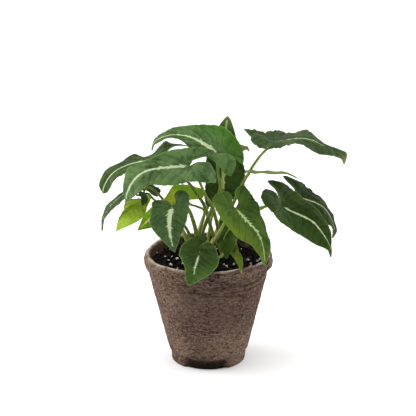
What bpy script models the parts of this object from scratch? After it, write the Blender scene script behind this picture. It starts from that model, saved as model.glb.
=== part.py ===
"""Potted syngonium: a fibre pot, its soil, three clumps of petioles and eighteen leaf blades.

Metres, +Z up. The pot stands on z = 0 with its axis on the origin, and the viewer of the picture is at -Y.
Every leaf is a sheet drawn through a few placed points, which were read by eye from the picture: picture
column, picture row and depth behind the pot's axis in millimetres. seen() turns them into places in metres.
"""

import math

import bmesh
import bpy
import numpy as np

MM = 0.001

# Pot and soil, from a 5 inch by 4 1/2 inch round fibre pot; the straight wall as (radius, height)
POT_HEIGHT = 114.5 * MM
RIM_RADIUS = 65.0 * MM
FOOT_RADIUS = 38.2 * MM
POT_WALL = 4.3 * MM
FLOOR = 5.0 * MM
WALL_FOOT = (41.4 * MM, 16.0 * MM)
WALL_HEAD = (60.6 * MM, 95.5 * MM)
POT_STEPS = 36
DENT_WIDTH = 45 * MM
DENT_HEIGHT = 10.5 * MM
DENT_SHIFT = -2 * MM
DENT_DEPTH = 2.4 * MM
DENT_REACH = 8 * MM
DENT_STEPS = 10
SOIL_TOP = 104.5 * MM
SOIL_EDGE = 103.0 * MM
GAP = 0.4 * MM

# The picture's camera: focal length in picture points, distance to the pot's axis, height it looks at
PICTURE_CENTRE = 208.0
FOCAL_POINTS = 1200.0
CAMERA_DISTANCE = 1200 * MM
AIM_HEIGHT = 160.3 * MM
LOOK_DOWN = math.radians(17.4)
AXIS_COLUMN = 208.3

# Leaf blades
HALF_WIDTH = 0.36
RIB_THICKNESS = 1.8 * MM
EDGE_THICKNESS = 0.8 * MM
SMALL_RIB_THICKNESS = 1.4 * MM
MARGIN_WAVE = 1.0 * MM
WAVES_ALONG = 3.0

# Petioles
CLUMP_PLACES = {"left": (-14 * MM, 12 * MM), "middle": (1 * MM, 26 * MM), "right": (17 * MM, 12 * MM)}
KNOB_RADIUS = 5.2 * MM
KNOB_BOTTOM = 94 * MM
KNOB_TOP = 107 * MM
PETIOLE_END_GAP = 0.45 * MM

# Half outline of a leaf from its tip to the end of its lobe: share of half width, share of length
OUTER_EDGE = [
    (0, 1), (0.09, 0.955), (0.20, 0.875), (0.40, 0.755), (0.65, 0.575), (0.85, 0.38),
    (0.965, 0.19), (1, 0.04), (0.97, -0.14), (0.87, -0.30), (0.71, -0.40), (0.52, -0.43),
]
# The midrib from the tip to the base, then the open edge of the cleft between the lobes
INNER_EDGE = [
    (0, 1), (0, 0.93), (0, 0.82), (0, 0.66), (0, 0.47), (0, 0.29),
    (0, 0.12), (0, 0), (0.09, -0.09), (0.20, -0.22), (0.34, -0.35), (0.52, -0.43),
]

# Where each named point lies on the flat leaf, for its right half
ON_MIDRIB = {"base": (0, 0), "middle": (0, 0.5), "neck": (0, 0.86), "tip": (0, 1)}
ON_HALF = {
    "point": (0.20, 0.875), "taper": (0.40, 0.755), "front": (0.65, 0.575), "side": (0.85, 0.38),
    "shoulder": (0.965, 0.19), "wide": (1, 0.04), "back": (0.87, -0.30), "lobe": (0.52, -0.43),
    "cleft": (0.34, -0.35), "inner": (0.20, -0.22),
}

LEAVES = {
    "leaf_crown": {
        "base": (216.6, 152.3, 0), "middle": (186, 136, -5), "tip": (151, 149.8, -12),
        "right_point": (154.5, 139, -6), "right_taper": (162, 133.3, 2),
        "right_front": (172, 128.2, 10), "right_wide": (222, 126.5, 14),
        "right_back": (241.5, 146.5, 12), "right_lobe": (243, 164.6, 8), "right_inner": (231, 157, 7),
        "left_point": (153.5, 145, -12), "left_taper": (164, 139.3, -10),
        "left_front": (178, 139, -11), "left_side": (187.5, 146.3, -11), "left_wide": (203, 156, -9),
        "left_back": (217, 164.5, -7), "left_lobe": (231.3, 176, -3), "left_cleft": (236, 164, -3),
        "left_inner": (229, 154.5, 0),
    },
    "leaf_left_front": {
        "base": (189.2, 165.4, -26), "middle": (148, 170.3, -31), "tip": (125.9, 202.5, -34),
        "right_point": (122.8, 187, -30), "right_taper": (126, 173, -24),
        "right_front": (134.5, 164.8, -19), "right_side": (154, 156.8, -20),
        "right_shoulder": (169, 150.3, -19), "right_wide": (187, 147.8, -22),
        "right_back": (203, 147.3, -21), "right_lobe": (215.3, 153.6, -21),
        "right_cleft": (206, 156.8, -22), "right_inner": (193.5, 159.5, -24),
        "left_point": (131, 198.5, -38), "left_taper": (140, 191.3, -41),
        "left_front": (150, 184.6, -40), "left_side": (163, 185.8, -43),
        "left_wide": (193, 181.5, -44), "left_back": (214.5, 183, -40), "left_lobe": (215.3, 173, -32),
        "left_cleft": (209.5, 163.5, -30), "left_inner": (199, 161.8, -30),
    },
    "leaf_left_back": {
        "base": (161, 156.5, 14), "middle": (124, 166.2, 10), "tip": (103, 193.6, 6),
        "right_point": (99.2, 185, 10), "right_taper": (104, 172, 17), "right_front": (118, 163.8, 24),
        "right_side": (134, 154.2, 28), "right_shoulder": (146.5, 157.3, 31),
        "right_wide": (161, 144.5, 33), "right_back": (174, 143.8, 33), "right_lobe": (188, 147, 28),
        "right_cleft": (177, 145.8, 26), "right_inner": (169.5, 148.5, 22),
        "left_point": (107.3, 191.3, 3), "left_taper": (113.5, 182, 0),
        "left_front": (122.5, 174.2, -2), "left_wide": (158, 172, -6), "left_lobe": (182, 170, 4),
    },
    "leaf_left_low": {
        "base": (136, 190.5, 6), "middle": (116, 200, 5), "neck": (102.3, 220, 3),
        "tip": (101.2, 230.6, 2), "right_front": (110, 202.5, 17), "right_wide": (145, 184, 24),
        "right_back": (160, 189, 24), "right_lobe": (157, 197, 20), "right_inner": (147, 190.5, 12),
        "left_front": (116, 206, -7), "left_wide": (139, 194, -8), "left_back": (140.5, 200, -9),
        "left_lobe": (144, 206, -8), "left_cleft": (147, 200, -7), "left_inner": (144.5, 194, -1),
    },
    "leaf_pale_hanging": {
        "base": (142, 199, 3), "middle": (131, 211, -1), "tip": (116.2, 230.9, -8),
        "right_taper": (117.3, 222.5, -2), "right_front": (119.5, 217, 2),
        "right_wide": (124.3, 208.5, 4), "right_back": (124.5, 201.5, 4),
        "right_lobe": (129, 199.5, 4), "right_inner": (137, 199, 2), "left_taper": (128, 226.3, -7),
        "left_front": (139.5, 220.3, -4), "left_wide": (147.4, 206, 2), "left_lobe": (147.5, 196, 5),
        "left_inner": (144.5, 195, 6),
    },
    "leaf_bright_small": {
        "base": (164, 208, -12), "middle": (150.5, 218.5, -14), "tip": (137.4, 230.6, -18),
        "right_front": (145, 213.5, -10), "right_wide": (160, 202, -6), "right_lobe": (166, 201, -4),
        "left_front": (152, 227.5, -14), "left_wide": (166, 222, -12), "left_lobe": (175, 214, -6),
    },
    "leaf_yellow_young": {
        "base": (187, 200.5, 10), "middle": (176, 198, -3), "tip": (164, 199.5, -16),
        "right_front": (171.5, 187, 0), "right_wide": (183, 184.5, 18), "right_back": (201, 188.5, 32),
        "right_lobe": (202.8, 198, 30), "right_cleft": (196.5, 199.5, 24),
        "right_inner": (190.5, 199.5, 17), "left_front": (171.5, 206.5, -14),
        "left_wide": (180, 208, -6), "left_back": (187, 206.5, 3), "left_lobe": (192, 204, 7),
        "left_inner": (189.5, 202.3, 9),
    },
    "leaf_front_left": {
        "base": (172, 206.9, -40), "middle": (169.5, 229, -42), "tip": (174.7, 252.5, -46),
        "right_taper": (164.5, 242.5, -44), "right_front": (155, 233, -42),
        "right_side": (149.8, 224, -40), "right_wide": (150.8, 212, -36),
        "right_back": (151.6, 204, -34), "right_lobe": (157.5, 199.8, -34),
        "right_cleft": (166.5, 200.6, -36), "right_inner": (170.5, 203.5, -38),
        "left_taper": (178.5, 242, -44), "left_front": (183.5, 229.5, -42),
        "left_wide": (189, 208, -37), "left_back": (188, 193.5, -33), "left_lobe": (178.5, 190.3, -34),
        "left_cleft": (174.2, 194.5, -36), "left_inner": (175.5, 201, -38),
    },
    "leaf_front_middle": {
        "base": (200, 250, -44), "middle": (194.8, 268, -63), "tip": (188.3, 285.3, -77),
        "right_taper": (185.3, 277, -72), "right_front": (184.3, 266, -65),
        "right_wide": (179.3, 253, -50), "right_back": (184.5, 242.5, -43),
        "right_lobe": (203, 233.3, -36), "right_cleft": (207.5, 238, -37),
        "right_inner": (204, 244, -40), "left_taper": (201, 280, -75), "left_front": (211.5, 273, -71),
        "left_wide": (218.8, 258, -54), "left_back": (215.8, 247.5, -49),
        "left_lobe": (210, 242.3, -46), "left_cleft": (205, 242.5, -45.5),
        "left_inner": (201, 245.5, -45),
    },
    "leaf_front_right": {
        "base": (236, 207.8, -32), "middle": (257, 231.5, -42), "tip": (265.3, 266, -50),
        "right_taper": (256.5, 251.5, -50), "right_front": (249.5, 244.2, -48),
        "right_side": (237, 237.6, -50), "right_shoulder": (227, 225.5, -48),
        "right_wide": (217, 212, -46), "right_back": (215.5, 194.5, -35),
        "right_lobe": (227.5, 191.8, -29), "right_cleft": (232.3, 197.5, -30),
        "right_inner": (231.8, 203.5, -32), "left_taper": (270.7, 247.5, -42),
        "left_front": (268.3, 235, -36), "left_side": (263.5, 221.5, -30),
        "left_wide": (257.5, 203, -24), "left_back": (250, 192.5, -20), "left_lobe": (241.5, 185, -18),
        "left_cleft": (234.8, 191.8, -21), "left_inner": (238.2, 201.5, -27),
    },
    "leaf_right_front": {
        "base": (282.7, 205.3, -10), "middle": (313, 221.8, -14), "neck": (330, 245.5, -16),
        "tip": (331.5, 257.2, -18), "right_point": (328, 250.3, -19), "right_taper": (316, 245, -18),
        "right_front": (303.5, 237.3, -18), "right_wide": (277, 217.5, -30),
        "right_back": (261, 197, -28), "right_lobe": (265, 188.8, -22),
        "right_inner": (276.5, 194.5, -14), "left_point": (331.5, 246, -15),
        "left_taper": (330.5, 231, -12), "left_front": (320.5, 213, -6), "left_side": (310, 203.5, 0),
        "left_wide": (296.5, 192.5, 8), "left_back": (282, 182.5, 8), "left_lobe": (267.4, 180.6, 4),
        "left_inner": (276, 190.5, -4),
    },
    "leaf_right_back": {
        "base": (298.5, 197, 16), "middle": (324, 207.3, 14), "neck": (334.8, 229.3, 10),
        "tip": (333.3, 238, 5), "right_point": (333.3, 229.8, 8), "right_taper": (329.5, 225.5, 6),
        "right_front": (319, 222, 2), "right_wide": (291, 211, 0), "right_lobe": (280, 203, 6),
        "left_point": (336.8, 231, 12), "left_taper": (334.3, 219, 17), "left_front": (330.5, 211, 22),
        "left_side": (319.5, 197, 26), "left_wide": (309, 188.5, 30), "left_back": (299, 181.5, 30),
        "left_lobe": (283, 175.7, 28), "left_inner": (294, 188, 20),
    },
    "leaf_right_top": {
        "base": (274, 141.5, -4), "middle": (315, 140.9, -5), "neck": (343, 154, -8),
        "tip": (345, 164, -8), "right_point": (341, 158.5, -11), "right_taper": (333, 156, -14),
        "right_front": (317, 153.8, -16), "right_side": (305, 145.8, -18),
        "right_shoulder": (291, 144.2, -22), "right_wide": (276, 148.1, -24),
        "right_back": (257, 146.6, -20), "right_lobe": (250.3, 139.5, -13),
        "right_cleft": (253, 134.7, -9), "right_inner": (263, 136, -6),
        "left_point": (346.6, 152.6, -4), "left_taper": (331, 147, 0), "left_front": (316, 137.3, 8),
        "left_side": (306, 130, 16), "left_shoulder": (291, 132, 20), "left_wide": (275, 131, 20),
        "left_lobe": (243.8, 129.5, 8), "left_cleft": (252.5, 137, 6), "left_inner": (263, 139.5, 3),
    },
    "leaf_right_thin": {
        "base": (249, 171, 44), "middle": (272, 172, 42), "neck": (289, 173.2, 38),
        "tip": (297.3, 177.6, 34), "right_front": (275, 174, 30), "right_wide": (250, 172.5, 28),
        "right_lobe": (240, 172.5, 34), "left_front": (277, 171.6, 56), "left_wide": (249, 170.5, 60),
        "left_lobe": (236, 170, 54),
    },
    "leaf_back": {
        "base": (223, 193, 24), "middle": (223.4, 158, 30), "tip": (227.8, 116.3, 26),
        "right_point": (232.6, 124.5, 27), "right_taper": (235.6, 135.5, 28),
        "right_front": (239.5, 149, 30), "right_wide": (244.8, 174, 22), "right_lobe": (236, 200, 16),
        "left_point": (220.3, 124, 27), "left_taper": (214.5, 137, 28), "left_front": (208, 152, 30),
        "left_wide": (205.3, 185, 20), "left_lobe": (211, 207, 12),
    },
    "leaf_back_small": {
        "base": (226, 150, 50), "middle": (239, 146.5, 50), "tip": (249.8, 150.8, 47),
        "right_front": (245, 150, 44), "right_wide": (228, 155, 42), "right_lobe": (219, 153, 44),
        "left_front": (246, 145.8, 54), "left_wide": (228, 146, 58), "left_lobe": (219, 147, 56),
    },
    "leaf_inner_shaded": {
        "base": (231, 224, -20), "middle": (223.6, 240, -28), "tip": (226.3, 259, -33),
        "right_taper": (222.6, 252, -28), "right_front": (219.5, 247, -27),
        "right_wide": (217.5, 236, -19), "right_lobe": (224, 218, -10),
        "right_inner": (227.5, 220, -15), "left_taper": (230, 254, -30),
        "left_front": (233.5, 248.5, -28), "left_wide": (238.5, 236, -16),
        "left_lobe": (238, 217, -10), "left_inner": (234.8, 219.5, -15),
    },
    "leaf_inner_narrow": {
        "base": (231, 241, -13), "middle": (237.6, 256, -34), "tip": (241.3, 273, -68),
        "right_front": (235.6, 261, -42), "right_wide": (228.5, 250, -16),
        "right_lobe": (227, 237, -6), "right_inner": (229.6, 239, -11), "left_front": (243, 261, -44),
        "left_wide": (237, 245, -15), "left_lobe": (235.5, 234, -6), "left_inner": (232.8, 238, -11),
    },
}

# Leaf: clump, radius at the soil and at the blade in mm, points on the way up
PETIOLES = {
    "leaf_bright_small": ("left", 2.0, 1.1, [(187, 238, 0), (178, 222, 0)]),
    "leaf_pale_hanging": ("left", 2.0, 1.1, [
        (190.5, 237, 4), (184, 225, 4), (172, 211, 4), (161, 197, 4), (152, 188.5, 5), (146, 187.8, 7),
    ]),
    "leaf_left_low": ("left", 2.0, 1.1, [
        (186, 239, 12), (182, 231, 12), (168, 213, 12), (153.2, 198.8, 14), (147.5, 193.5, 15),
    ]),
    "leaf_yellow_young": ("left", 2.0, 1.0, [(200, 231, 6), (204.6, 212.1, 10), (197, 206.5, 14)]),
    "leaf_front_left": ("left", 2.9, 1.5, [(197, 238, 4), (193, 220, -8), (186.5, 207, -22)]),
    "leaf_back": ("left", 2.4, 1.3, [(198.9, 231.2, 18), (208.4, 206.4, 28)]),
    "leaf_crown": ("left", 2.4, 1.3, [
        (202.7, 232.2, 12), (211.3, 210.2, 6), (220.2, 190, 9), (218.4, 174, 11), (217.2, 163, 9),
    ]),
    "leaf_right_top": ("middle", 2.6, 1.3, [
        (213, 241, 23), (222.9, 223.6, 17), (233, 204, 8), (242.3, 184.5, 0), (255, 163, -6), (266, 150, -8),
    ]),
    "leaf_right_thin": ("middle", 2.2, 1.1, [(214, 238, 32), (226, 205, 40), (236, 182, 42)]),
    "leaf_back_small": ("middle", 2.2, 1.0, [(208, 238, 34), (214, 205, 44), (218, 175, 50)]),
    "leaf_left_front": ("right", 2.4, 1.3, [
        (218.4, 228.9, 2), (212.3, 206.4, -8), (205.6, 196, -12), (199.8, 182.4, -17),
    ]),
    "leaf_left_back": ("right", 2.4, 1.3, [
        (212.3, 231.2, 14), (205.6, 208.3, 16), (196, 192, 13), (188, 182, 15), (172, 166, 22),
    ]),
    "leaf_front_right": ("left", 2.2, 1.3, [
        (207, 250.5, -9), (214, 241, -24), (222, 227.5, -31), (229.5, 214.5, -31),
    ]),
    "leaf_right_front": ("right", 2, 0.8, [
        (232, 235, 6), (246, 217, -4), (259.3, 210, -8), (268, 206.3, -8),
    ]),
    "leaf_right_back": ("right", 2, 0.8, [
        (234, 230, 14), (246, 213.5, 8), (259.3, 207.8, 6), (280, 203, 12),
    ]),
    "leaf_front_middle": ("right", 1.8, 1.0, [(223.8, 252.5, 0), (219, 257.5, -20), (207, 255, -36)]),
    "leaf_inner_shaded": ("right", 1.8, 1.0, [(223, 242, -3), (229, 229, -8)]),
    "leaf_inner_narrow": ("right", 1.6, 0.9, [(231, 247, 2)]),
}

COLOURS = {
    "fibre": (0.13, 0.085, 0.062),
    "soil": (0.012, 0.010, 0.008),
    "petiole": (0.21, 0.27, 0.09),
    "leaf_dark": (0.055, 0.115, 0.040),
    "leaf_bright": (0.09, 0.21, 0.035),
    "leaf_pale": (0.25, 0.33, 0.05),
    "leaf_yellow": (0.30, 0.33, 0.06),
}
LEAF_COLOURS = {
    "leaf_crown": "leaf_bright",
    "leaf_front_right": "leaf_bright",
    "leaf_pale_hanging": "leaf_pale",
    "leaf_bright_small": "leaf_pale",
    "leaf_yellow_young": "leaf_yellow",
}
SMALL_LEAVES = {
    "leaf_bright_small", "leaf_yellow_young", "leaf_right_thin", "leaf_back_small",
    "leaf_inner_shaded", "leaf_inner_narrow", "leaf_pale_hanging",
}


def clear_scene():
    for item in list(bpy.data.objects):
        bpy.data.objects.remove(item, do_unlink=True)


def collection(name):
    made = bpy.data.collections.new(name)
    bpy.context.scene.collection.children.link(made)
    return made


def material(name, colour, roughness):
    made = bpy.data.materials.new(name)
    made.use_nodes = True
    shader = made.node_tree.nodes["Principled BSDF"]
    shader.inputs["Base Color"].default_value = (*colour, 1)
    shader.inputs["Roughness"].default_value = roughness
    shader.inputs["Metallic"].default_value = 0
    return made


def seen(column, row, depth):
    """The place in metres of a picture point that lies depth millimetres behind the pot's axis."""
    ray = np.array([
        column - PICTURE_CENTRE,
        FOCAL_POINTS * math.cos(LOOK_DOWN) + (PICTURE_CENTRE - row) * math.sin(LOOK_DOWN),
        (PICTURE_CENTRE - row) * math.cos(LOOK_DOWN) - FOCAL_POINTS * math.sin(LOOK_DOWN),
    ])
    eye = np.array([
        (PICTURE_CENTRE - AXIS_COLUMN) * MM,
        -CAMERA_DISTANCE * math.cos(LOOK_DOWN),
        AIM_HEIGHT + CAMERA_DISTANCE * math.sin(LOOK_DOWN),
    ])
    return eye + ray * (depth * MM - eye[1]) / ray[1]


def through(points, shares):
    """Smooth curve through points, read at the given shares of its way."""
    points = np.asarray(points, float)
    ends = np.vstack([2 * points[0] - points[1], points, 2 * points[-1] - points[-2]])
    place = np.clip(np.asarray(shares) * (len(points) - 1), 0, len(points) - 1 - 1e-9)
    span = place.astype(int)
    f = (place - span)[:, None]
    a, b, c, d = ends[span], ends[span + 1], ends[span + 2], ends[span + 3]
    return 0.5 * (2 * b + (c - a) * f + (2 * a - 5 * b + 4 * c - d) * f**2 + (3 * b - a - 3 * c + d) * f**3)


class Sheet:
    """A thin plate bent so that its named flat points reach their places."""

    def __init__(self, points):
        flat = []
        for name in points:
            side, _, part = name.partition("_")
            if name in ON_MIDRIB:
                flat.append(ON_MIDRIB[name])
            else:
                across, along = ON_HALF[part]
                flat.append((across if side == "right" else -across, along))
        self.flat = np.array(flat, float) * (HALF_WIDTH, 1)
        count = len(flat)
        system = np.zeros((count + 3, count + 3))
        system[:count, :count] = self.pull(self.flat) + np.eye(count) * 1e-4
        system[:count, count:] = np.c_[np.ones(count), self.flat]
        system[count:, :count] = system[:count, count:].T
        places = np.array([seen(*points[name]) for name in points])
        self.weights = np.linalg.solve(system, np.vstack([places, np.zeros((3, 3))]))

    def pull(self, flat):
        squares = ((flat[:, None] - self.flat[None]) ** 2).sum(-1)
        return squares * np.log(squares + 1e-12)

    def at(self, shares):
        flat = np.atleast_2d(shares) * (HALF_WIDTH, 1)
        return np.c_[self.pull(flat), np.ones(len(flat)), flat] @ self.weights

    def normal(self, shares):
        step = 0.01
        shares = np.atleast_2d(shares)
        across = self.at(shares + (step, 0)) - self.at(shares - (step, 0))
        along = self.at(shares + (0, step)) - self.at(shares - (0, step))
        face = np.cross(across, along)
        return face / np.linalg.norm(face, axis=1, keepdims=True)

    def waved(self, shares):
        """The sheet with its margins waved."""
        turn = 2 * math.pi * WAVES_ALONG * shares[:, 1] + np.where(shares[:, 0] > 0, 2.0, 0.0)
        lift = MARGIN_WAVE * shares[:, 0] ** 2 * np.sin(turn)
        return self.at(shares) + self.normal(shares) * lift[:, None]


def make_blade(name, parts, paint):
    """Two half grids between midrib and margin, welded on the midrib and thickened below."""
    sheet = Sheet(LEAVES[name])
    small = name in SMALL_LEAVES
    rows, columns = (11, 2) if small else (22, 3)
    mesh = bmesh.new()
    for side in (-1, 1):
        half = bmesh.new()
        bmesh.ops.create_grid(half, x_segments=columns, y_segments=rows, size=0.5)
        across = np.array([corner.co.x + 0.5 for corner in half.verts])
        along = np.array([corner.co.y + 0.5 for corner in half.verts])
        margin = through(OUTER_EDGE, along)
        rib = through(INNER_EDGE, along)
        rib[:, 0] = np.maximum(rib[:, 0], 0)
        shares = (rib + (margin - rib) * across[:, None]) * (side, 1)
        places = sheet.waved(shares)
        for corner, place in zip(half.verts, places):
            corner.co = place
        bmesh.ops.triangulate(half, faces=half.faces)
        piece = bpy.data.meshes.new(name)
        half.to_mesh(piece)
        half.free()
        mesh.from_mesh(piece)
        bpy.data.meshes.remove(piece)
    bmesh.ops.remove_doubles(mesh, verts=mesh.verts, dist=1e-5)
    bmesh.ops.dissolve_degenerate(mesh, edges=mesh.edges, dist=1e-6)
    bmesh.ops.recalc_face_normals(mesh, faces=mesh.faces)
    mesh.faces.ensure_lookup_table()
    if mesh.faces[0].normal.dot(sheet_side(sheet, mesh.faces[0])) < 0:
        bmesh.ops.reverse_faces(mesh, faces=mesh.faces)
    data = bpy.data.meshes.new(name)
    mesh.to_mesh(data)
    mesh.free()
    blade = bpy.data.objects.new(name, data)
    parts.objects.link(blade)
    thick = SMALL_RIB_THICKNESS if small else RIB_THICKNESS
    group = blade.vertex_groups.new(name="rib")
    rib_line = sheet.at([(0, share) for share in np.linspace(0, 1, 40)])
    widest = np.linalg.norm(sheet.at((0.7, 0.04)) - sheet.at((0, 0.04)))
    for corner in data.vertices:
        reach = np.linalg.norm(rib_line - np.array(corner.co), axis=1).min() / widest
        group.add([corner.index], max(0.0, 1 - reach), "REPLACE")
    shell = blade.modifiers.new("Thickness", "SOLIDIFY")
    shell.thickness = thick
    shell.offset = -1
    shell.use_even_offset = False
    shell.vertex_group = "rib"
    shell.thickness_vertex_group = EDGE_THICKNESS / thick
    data.materials.append(paint)
    data.shade_smooth()
    return blade


def sheet_side(sheet, face):
    """The upper side of the sheet near a face, found at the closest of a few flat points."""
    tries = np.array([(x, y) for x in (-0.6, -0.2, 0.2, 0.6) for y in np.linspace(-0.3, 0.95, 12)])
    middle = np.array(face.calc_center_median())
    near = np.linalg.norm(sheet.at(tries) - middle, axis=1).argmin()
    return tuple(sheet.normal(tries[near])[0])


def sag_round_joint(sheet, joint, below, radius):
    """How far the blade drops within the radius of a petiole's end."""
    near = np.array([(x, y) for x in np.linspace(-0.3, 0.3, 25) for y in np.linspace(-0.1, 0.14, 25)])
    places = sheet.at(near) - joint
    drop = places @ below
    away = np.linalg.norm(places - drop[:, None] * below, axis=1)
    return max(0.0, drop[away < radius * 1.8].max())


def petiole_path(name):
    """Points of a petiole from the clump up to the underside of its blade, with their radii."""
    clump, low_radius, high_radius, way = PETIOLES[name]
    sheet = Sheet(LEAVES[name])
    joint = sheet.at((0, 0.02))[0]
    below = -sheet.normal((0, 0.02))[0]
    thickness = SMALL_RIB_THICKNESS if name in SMALL_LEAVES else RIB_THICKNESS
    rib = thickness + PETIOLE_END_GAP + sag_round_joint(sheet, joint, below, high_radius * MM)
    along = sheet.at((0, 0.06))[0] - sheet.at((0, 0))[0]
    climb = [seen(*point) for point in way]
    centre = np.array([*CLUMP_PLACES[clump], KNOB_BOTTOM])
    lean = climb[0] - centre
    lean[2] = 0
    lean /= np.linalg.norm(lean)
    start = centre + lean * 2.2 * MM + (0, 0, 4 * MM)
    rise = centre + lean * 3.4 * MM + (0, 0, KNOB_TOP - KNOB_BOTTOM + 3 * MM)
    approach = joint + below * (rib + 4 * MM) - along * 0.7
    touch = joint + below * (rib + 1.2 * MM)
    end = joint + below * rib
    shares = np.linspace(0, 1, 3 * len(climb) + 5)
    line = np.vstack([through([start, rise, *climb, approach, touch], shares), end])
    radii = np.interp(np.linspace(0, 1.3, len(line)), (0, 1), (low_radius, high_radius)) * MM
    return line, radii


def make_petiole(name, line, radii, holder):
    curve = bpy.data.curves.new(name, "CURVE")
    curve.dimensions = "3D"
    curve.bevel_depth = 1
    curve.bevel_resolution = 1
    curve.use_fill_caps = True
    spline = curve.splines.new("POLY")
    spline.points.add(len(line) - 1)
    for point, place, radius in zip(spline.points, line, radii):
        point.co = (*place, 1)
        point.radius = radius
    tube = bpy.data.objects.new(name, curve)
    holder.objects.link(tube)
    bpy.context.view_layer.update()
    solid = bpy.data.meshes.new_from_object(tube.evaluated_get(bpy.context.evaluated_depsgraph_get()))
    bpy.data.objects.remove(tube)
    work = bmesh.new()
    work.from_mesh(solid)
    bmesh.ops.remove_doubles(work, verts=work.verts, dist=1e-6)
    bmesh.ops.recalc_face_normals(work, faces=work.faces)
    work.to_mesh(solid)
    work.free()
    petiole = bpy.data.objects.new(name, solid)
    holder.objects.link(petiole)
    return petiole


def move_to(item, holder):
    for owner in list(item.users_collection):
        owner.objects.unlink(item)
    holder.objects.link(item)


def make_clump(clump, parts, paint):
    """A knob at the soil with its petioles, joined into one body."""
    holder = collection("petioles_" + clump)
    for name in PETIOLES:
        if PETIOLES[name][0] == clump:
            make_petiole("petiole_of_" + name, *petiole_path(name), holder)
    x, y = CLUMP_PLACES[clump]
    bpy.ops.mesh.primitive_cone_add(
        vertices=14, radius1=KNOB_RADIUS, radius2=KNOB_RADIUS * 0.72, depth=KNOB_TOP - KNOB_BOTTOM,
        location=(x, y, (KNOB_TOP + KNOB_BOTTOM) / 2),
    )
    knob = bpy.context.object
    knob.name = "stems_" + clump
    move_to(knob, parts)
    join = knob.modifiers.new("Join", "BOOLEAN")
    join.operation = "UNION"
    join.operand_type = "COLLECTION"
    join.collection = holder
    join.solver = "MANIFOLD"
    bpy.context.view_layer.update()
    joined = bpy.data.meshes.new_from_object(knob.evaluated_get(bpy.context.evaluated_depsgraph_get()))
    knob.modifiers.remove(join)
    knob.data = joined
    joined.materials.clear()
    joined.materials.append(paint)
    joined.shade_smooth()
    joined.set_sharp_from_angle(angle=math.radians(50))
    for petiole in list(holder.objects):
        bpy.data.objects.remove(petiole)
    bpy.data.collections.remove(holder)
    return knob


def turned(name, profile, steps, parts, paint):
    """A profile in the XZ plane turned round Z, running up the inside and down the outside."""
    data = bpy.data.meshes.new(name)
    work = bmesh.new()
    corners = [work.verts.new((radius, 0, height)) for radius, height in profile]
    for low, high in zip(corners, corners[1:]):
        work.edges.new((low, high))
    work.to_mesh(data)
    work.free()
    item = bpy.data.objects.new(name, data)
    parts.objects.link(item)
    screw = item.modifiers.new("Turn", "SCREW")
    screw.steps = steps
    screw.render_steps = steps
    screw.use_merge_vertices = True
    screw.merge_threshold = 1e-5
    screw.use_smooth_shade = True
    data.materials.append(paint)
    return item


def as_cutter(item, name, cutters):
    item.name = name
    move_to(item, cutters)
    item.hide_render = True
    item.display_type = "WIRE"
    return item


def dent_cutter(side, cutters):
    """A short stretch of thick ring that presses a shallow dent into the foot's front or back."""
    inner = FOOT_RADIUS - DENT_DEPTH
    half = math.asin(DENT_WIDTH / 2 / FOOT_RADIUS)
    middle = side * math.pi / 2 - side * DENT_SHIFT / FOOT_RADIUS
    corners = []
    for step in range(DENT_STEPS + 1):
        angle = middle - half + 2 * half * step / DENT_STEPS
        for radius in (inner, inner + DENT_REACH):
            for height in (-3 * MM, DENT_HEIGHT):
                corners.append((radius * math.cos(angle), radius * math.sin(angle), height))
    faces = [(0, 1, 3, 2)]
    for step in range(DENT_STEPS):
        k = 4 * step
        faces += [(k, k + 4, k + 5, k + 1), (k + 1, k + 5, k + 7, k + 3),
                  (k + 3, k + 7, k + 6, k + 2), (k + 2, k + 6, k + 4, k)]
    k = 4 * DENT_STEPS
    faces.append((k, k + 2, k + 3, k + 1))
    data = bpy.data.meshes.new("foot_dent")
    data.from_pydata(corners, [], faces)
    item = bpy.data.objects.new("foot_dent", data)
    cutters.objects.link(item)
    work = bmesh.new()
    work.from_mesh(data)
    bmesh.ops.recalc_face_normals(work, faces=work.faces)
    work.to_mesh(data)
    work.free()
    return as_cutter(item, "foot_dent_" + ("front" if side < 0 else "back"), cutters)


def make_pot(parts, cutters, paint):
    lip = [
        (RIM_RADIUS - 5.7 * MM, POT_HEIGHT - 1.3 * MM),
        (RIM_RADIUS - 3.2 * MM, POT_HEIGHT),
        (RIM_RADIUS - 0.9 * MM, POT_HEIGHT - 2.0 * MM),
        (RIM_RADIUS, POT_HEIGHT - 6.5 * MM),
        (RIM_RADIUS - 0.6 * MM, POT_HEIGHT - 11.5 * MM),
        (RIM_RADIUS - 3.0 * MM, POT_HEIGHT - 16 * MM),
    ]
    outside = [
        WALL_HEAD,
        WALL_FOOT,
        (FOOT_RADIUS + 1.6 * MM, 12.5 * MM),
        (FOOT_RADIUS, 9 * MM),
        (FOOT_RADIUS - 0.2 * MM, 3.5 * MM),
        (FOOT_RADIUS - 0.8 * MM, 1 * MM),
        (FOOT_RADIUS - 2 * MM, 0),
        (0, 0),
    ]
    inside = [
        (0, FLOOR),
        (FOOT_RADIUS - POT_WALL, FLOOR),
        (WALL_FOOT[0] - POT_WALL, WALL_FOOT[1]),
        (WALL_HEAD[0] - POT_WALL, WALL_HEAD[1]),
        (RIM_RADIUS - 7.4 * MM, POT_HEIGHT - 6 * MM),
    ]
    pot = turned("pot", inside + lip + outside, POT_STEPS, parts, paint)
    for side in (-1, 1):
        cutter = dent_cutter(side, cutters)
        dent = pot.modifiers.new("Foot dent " + cutter.name[-5:], "BOOLEAN")
        dent.operation = "DIFFERENCE"
        dent.solver = "EXACT"
        dent.object = cutter
    return pot


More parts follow.
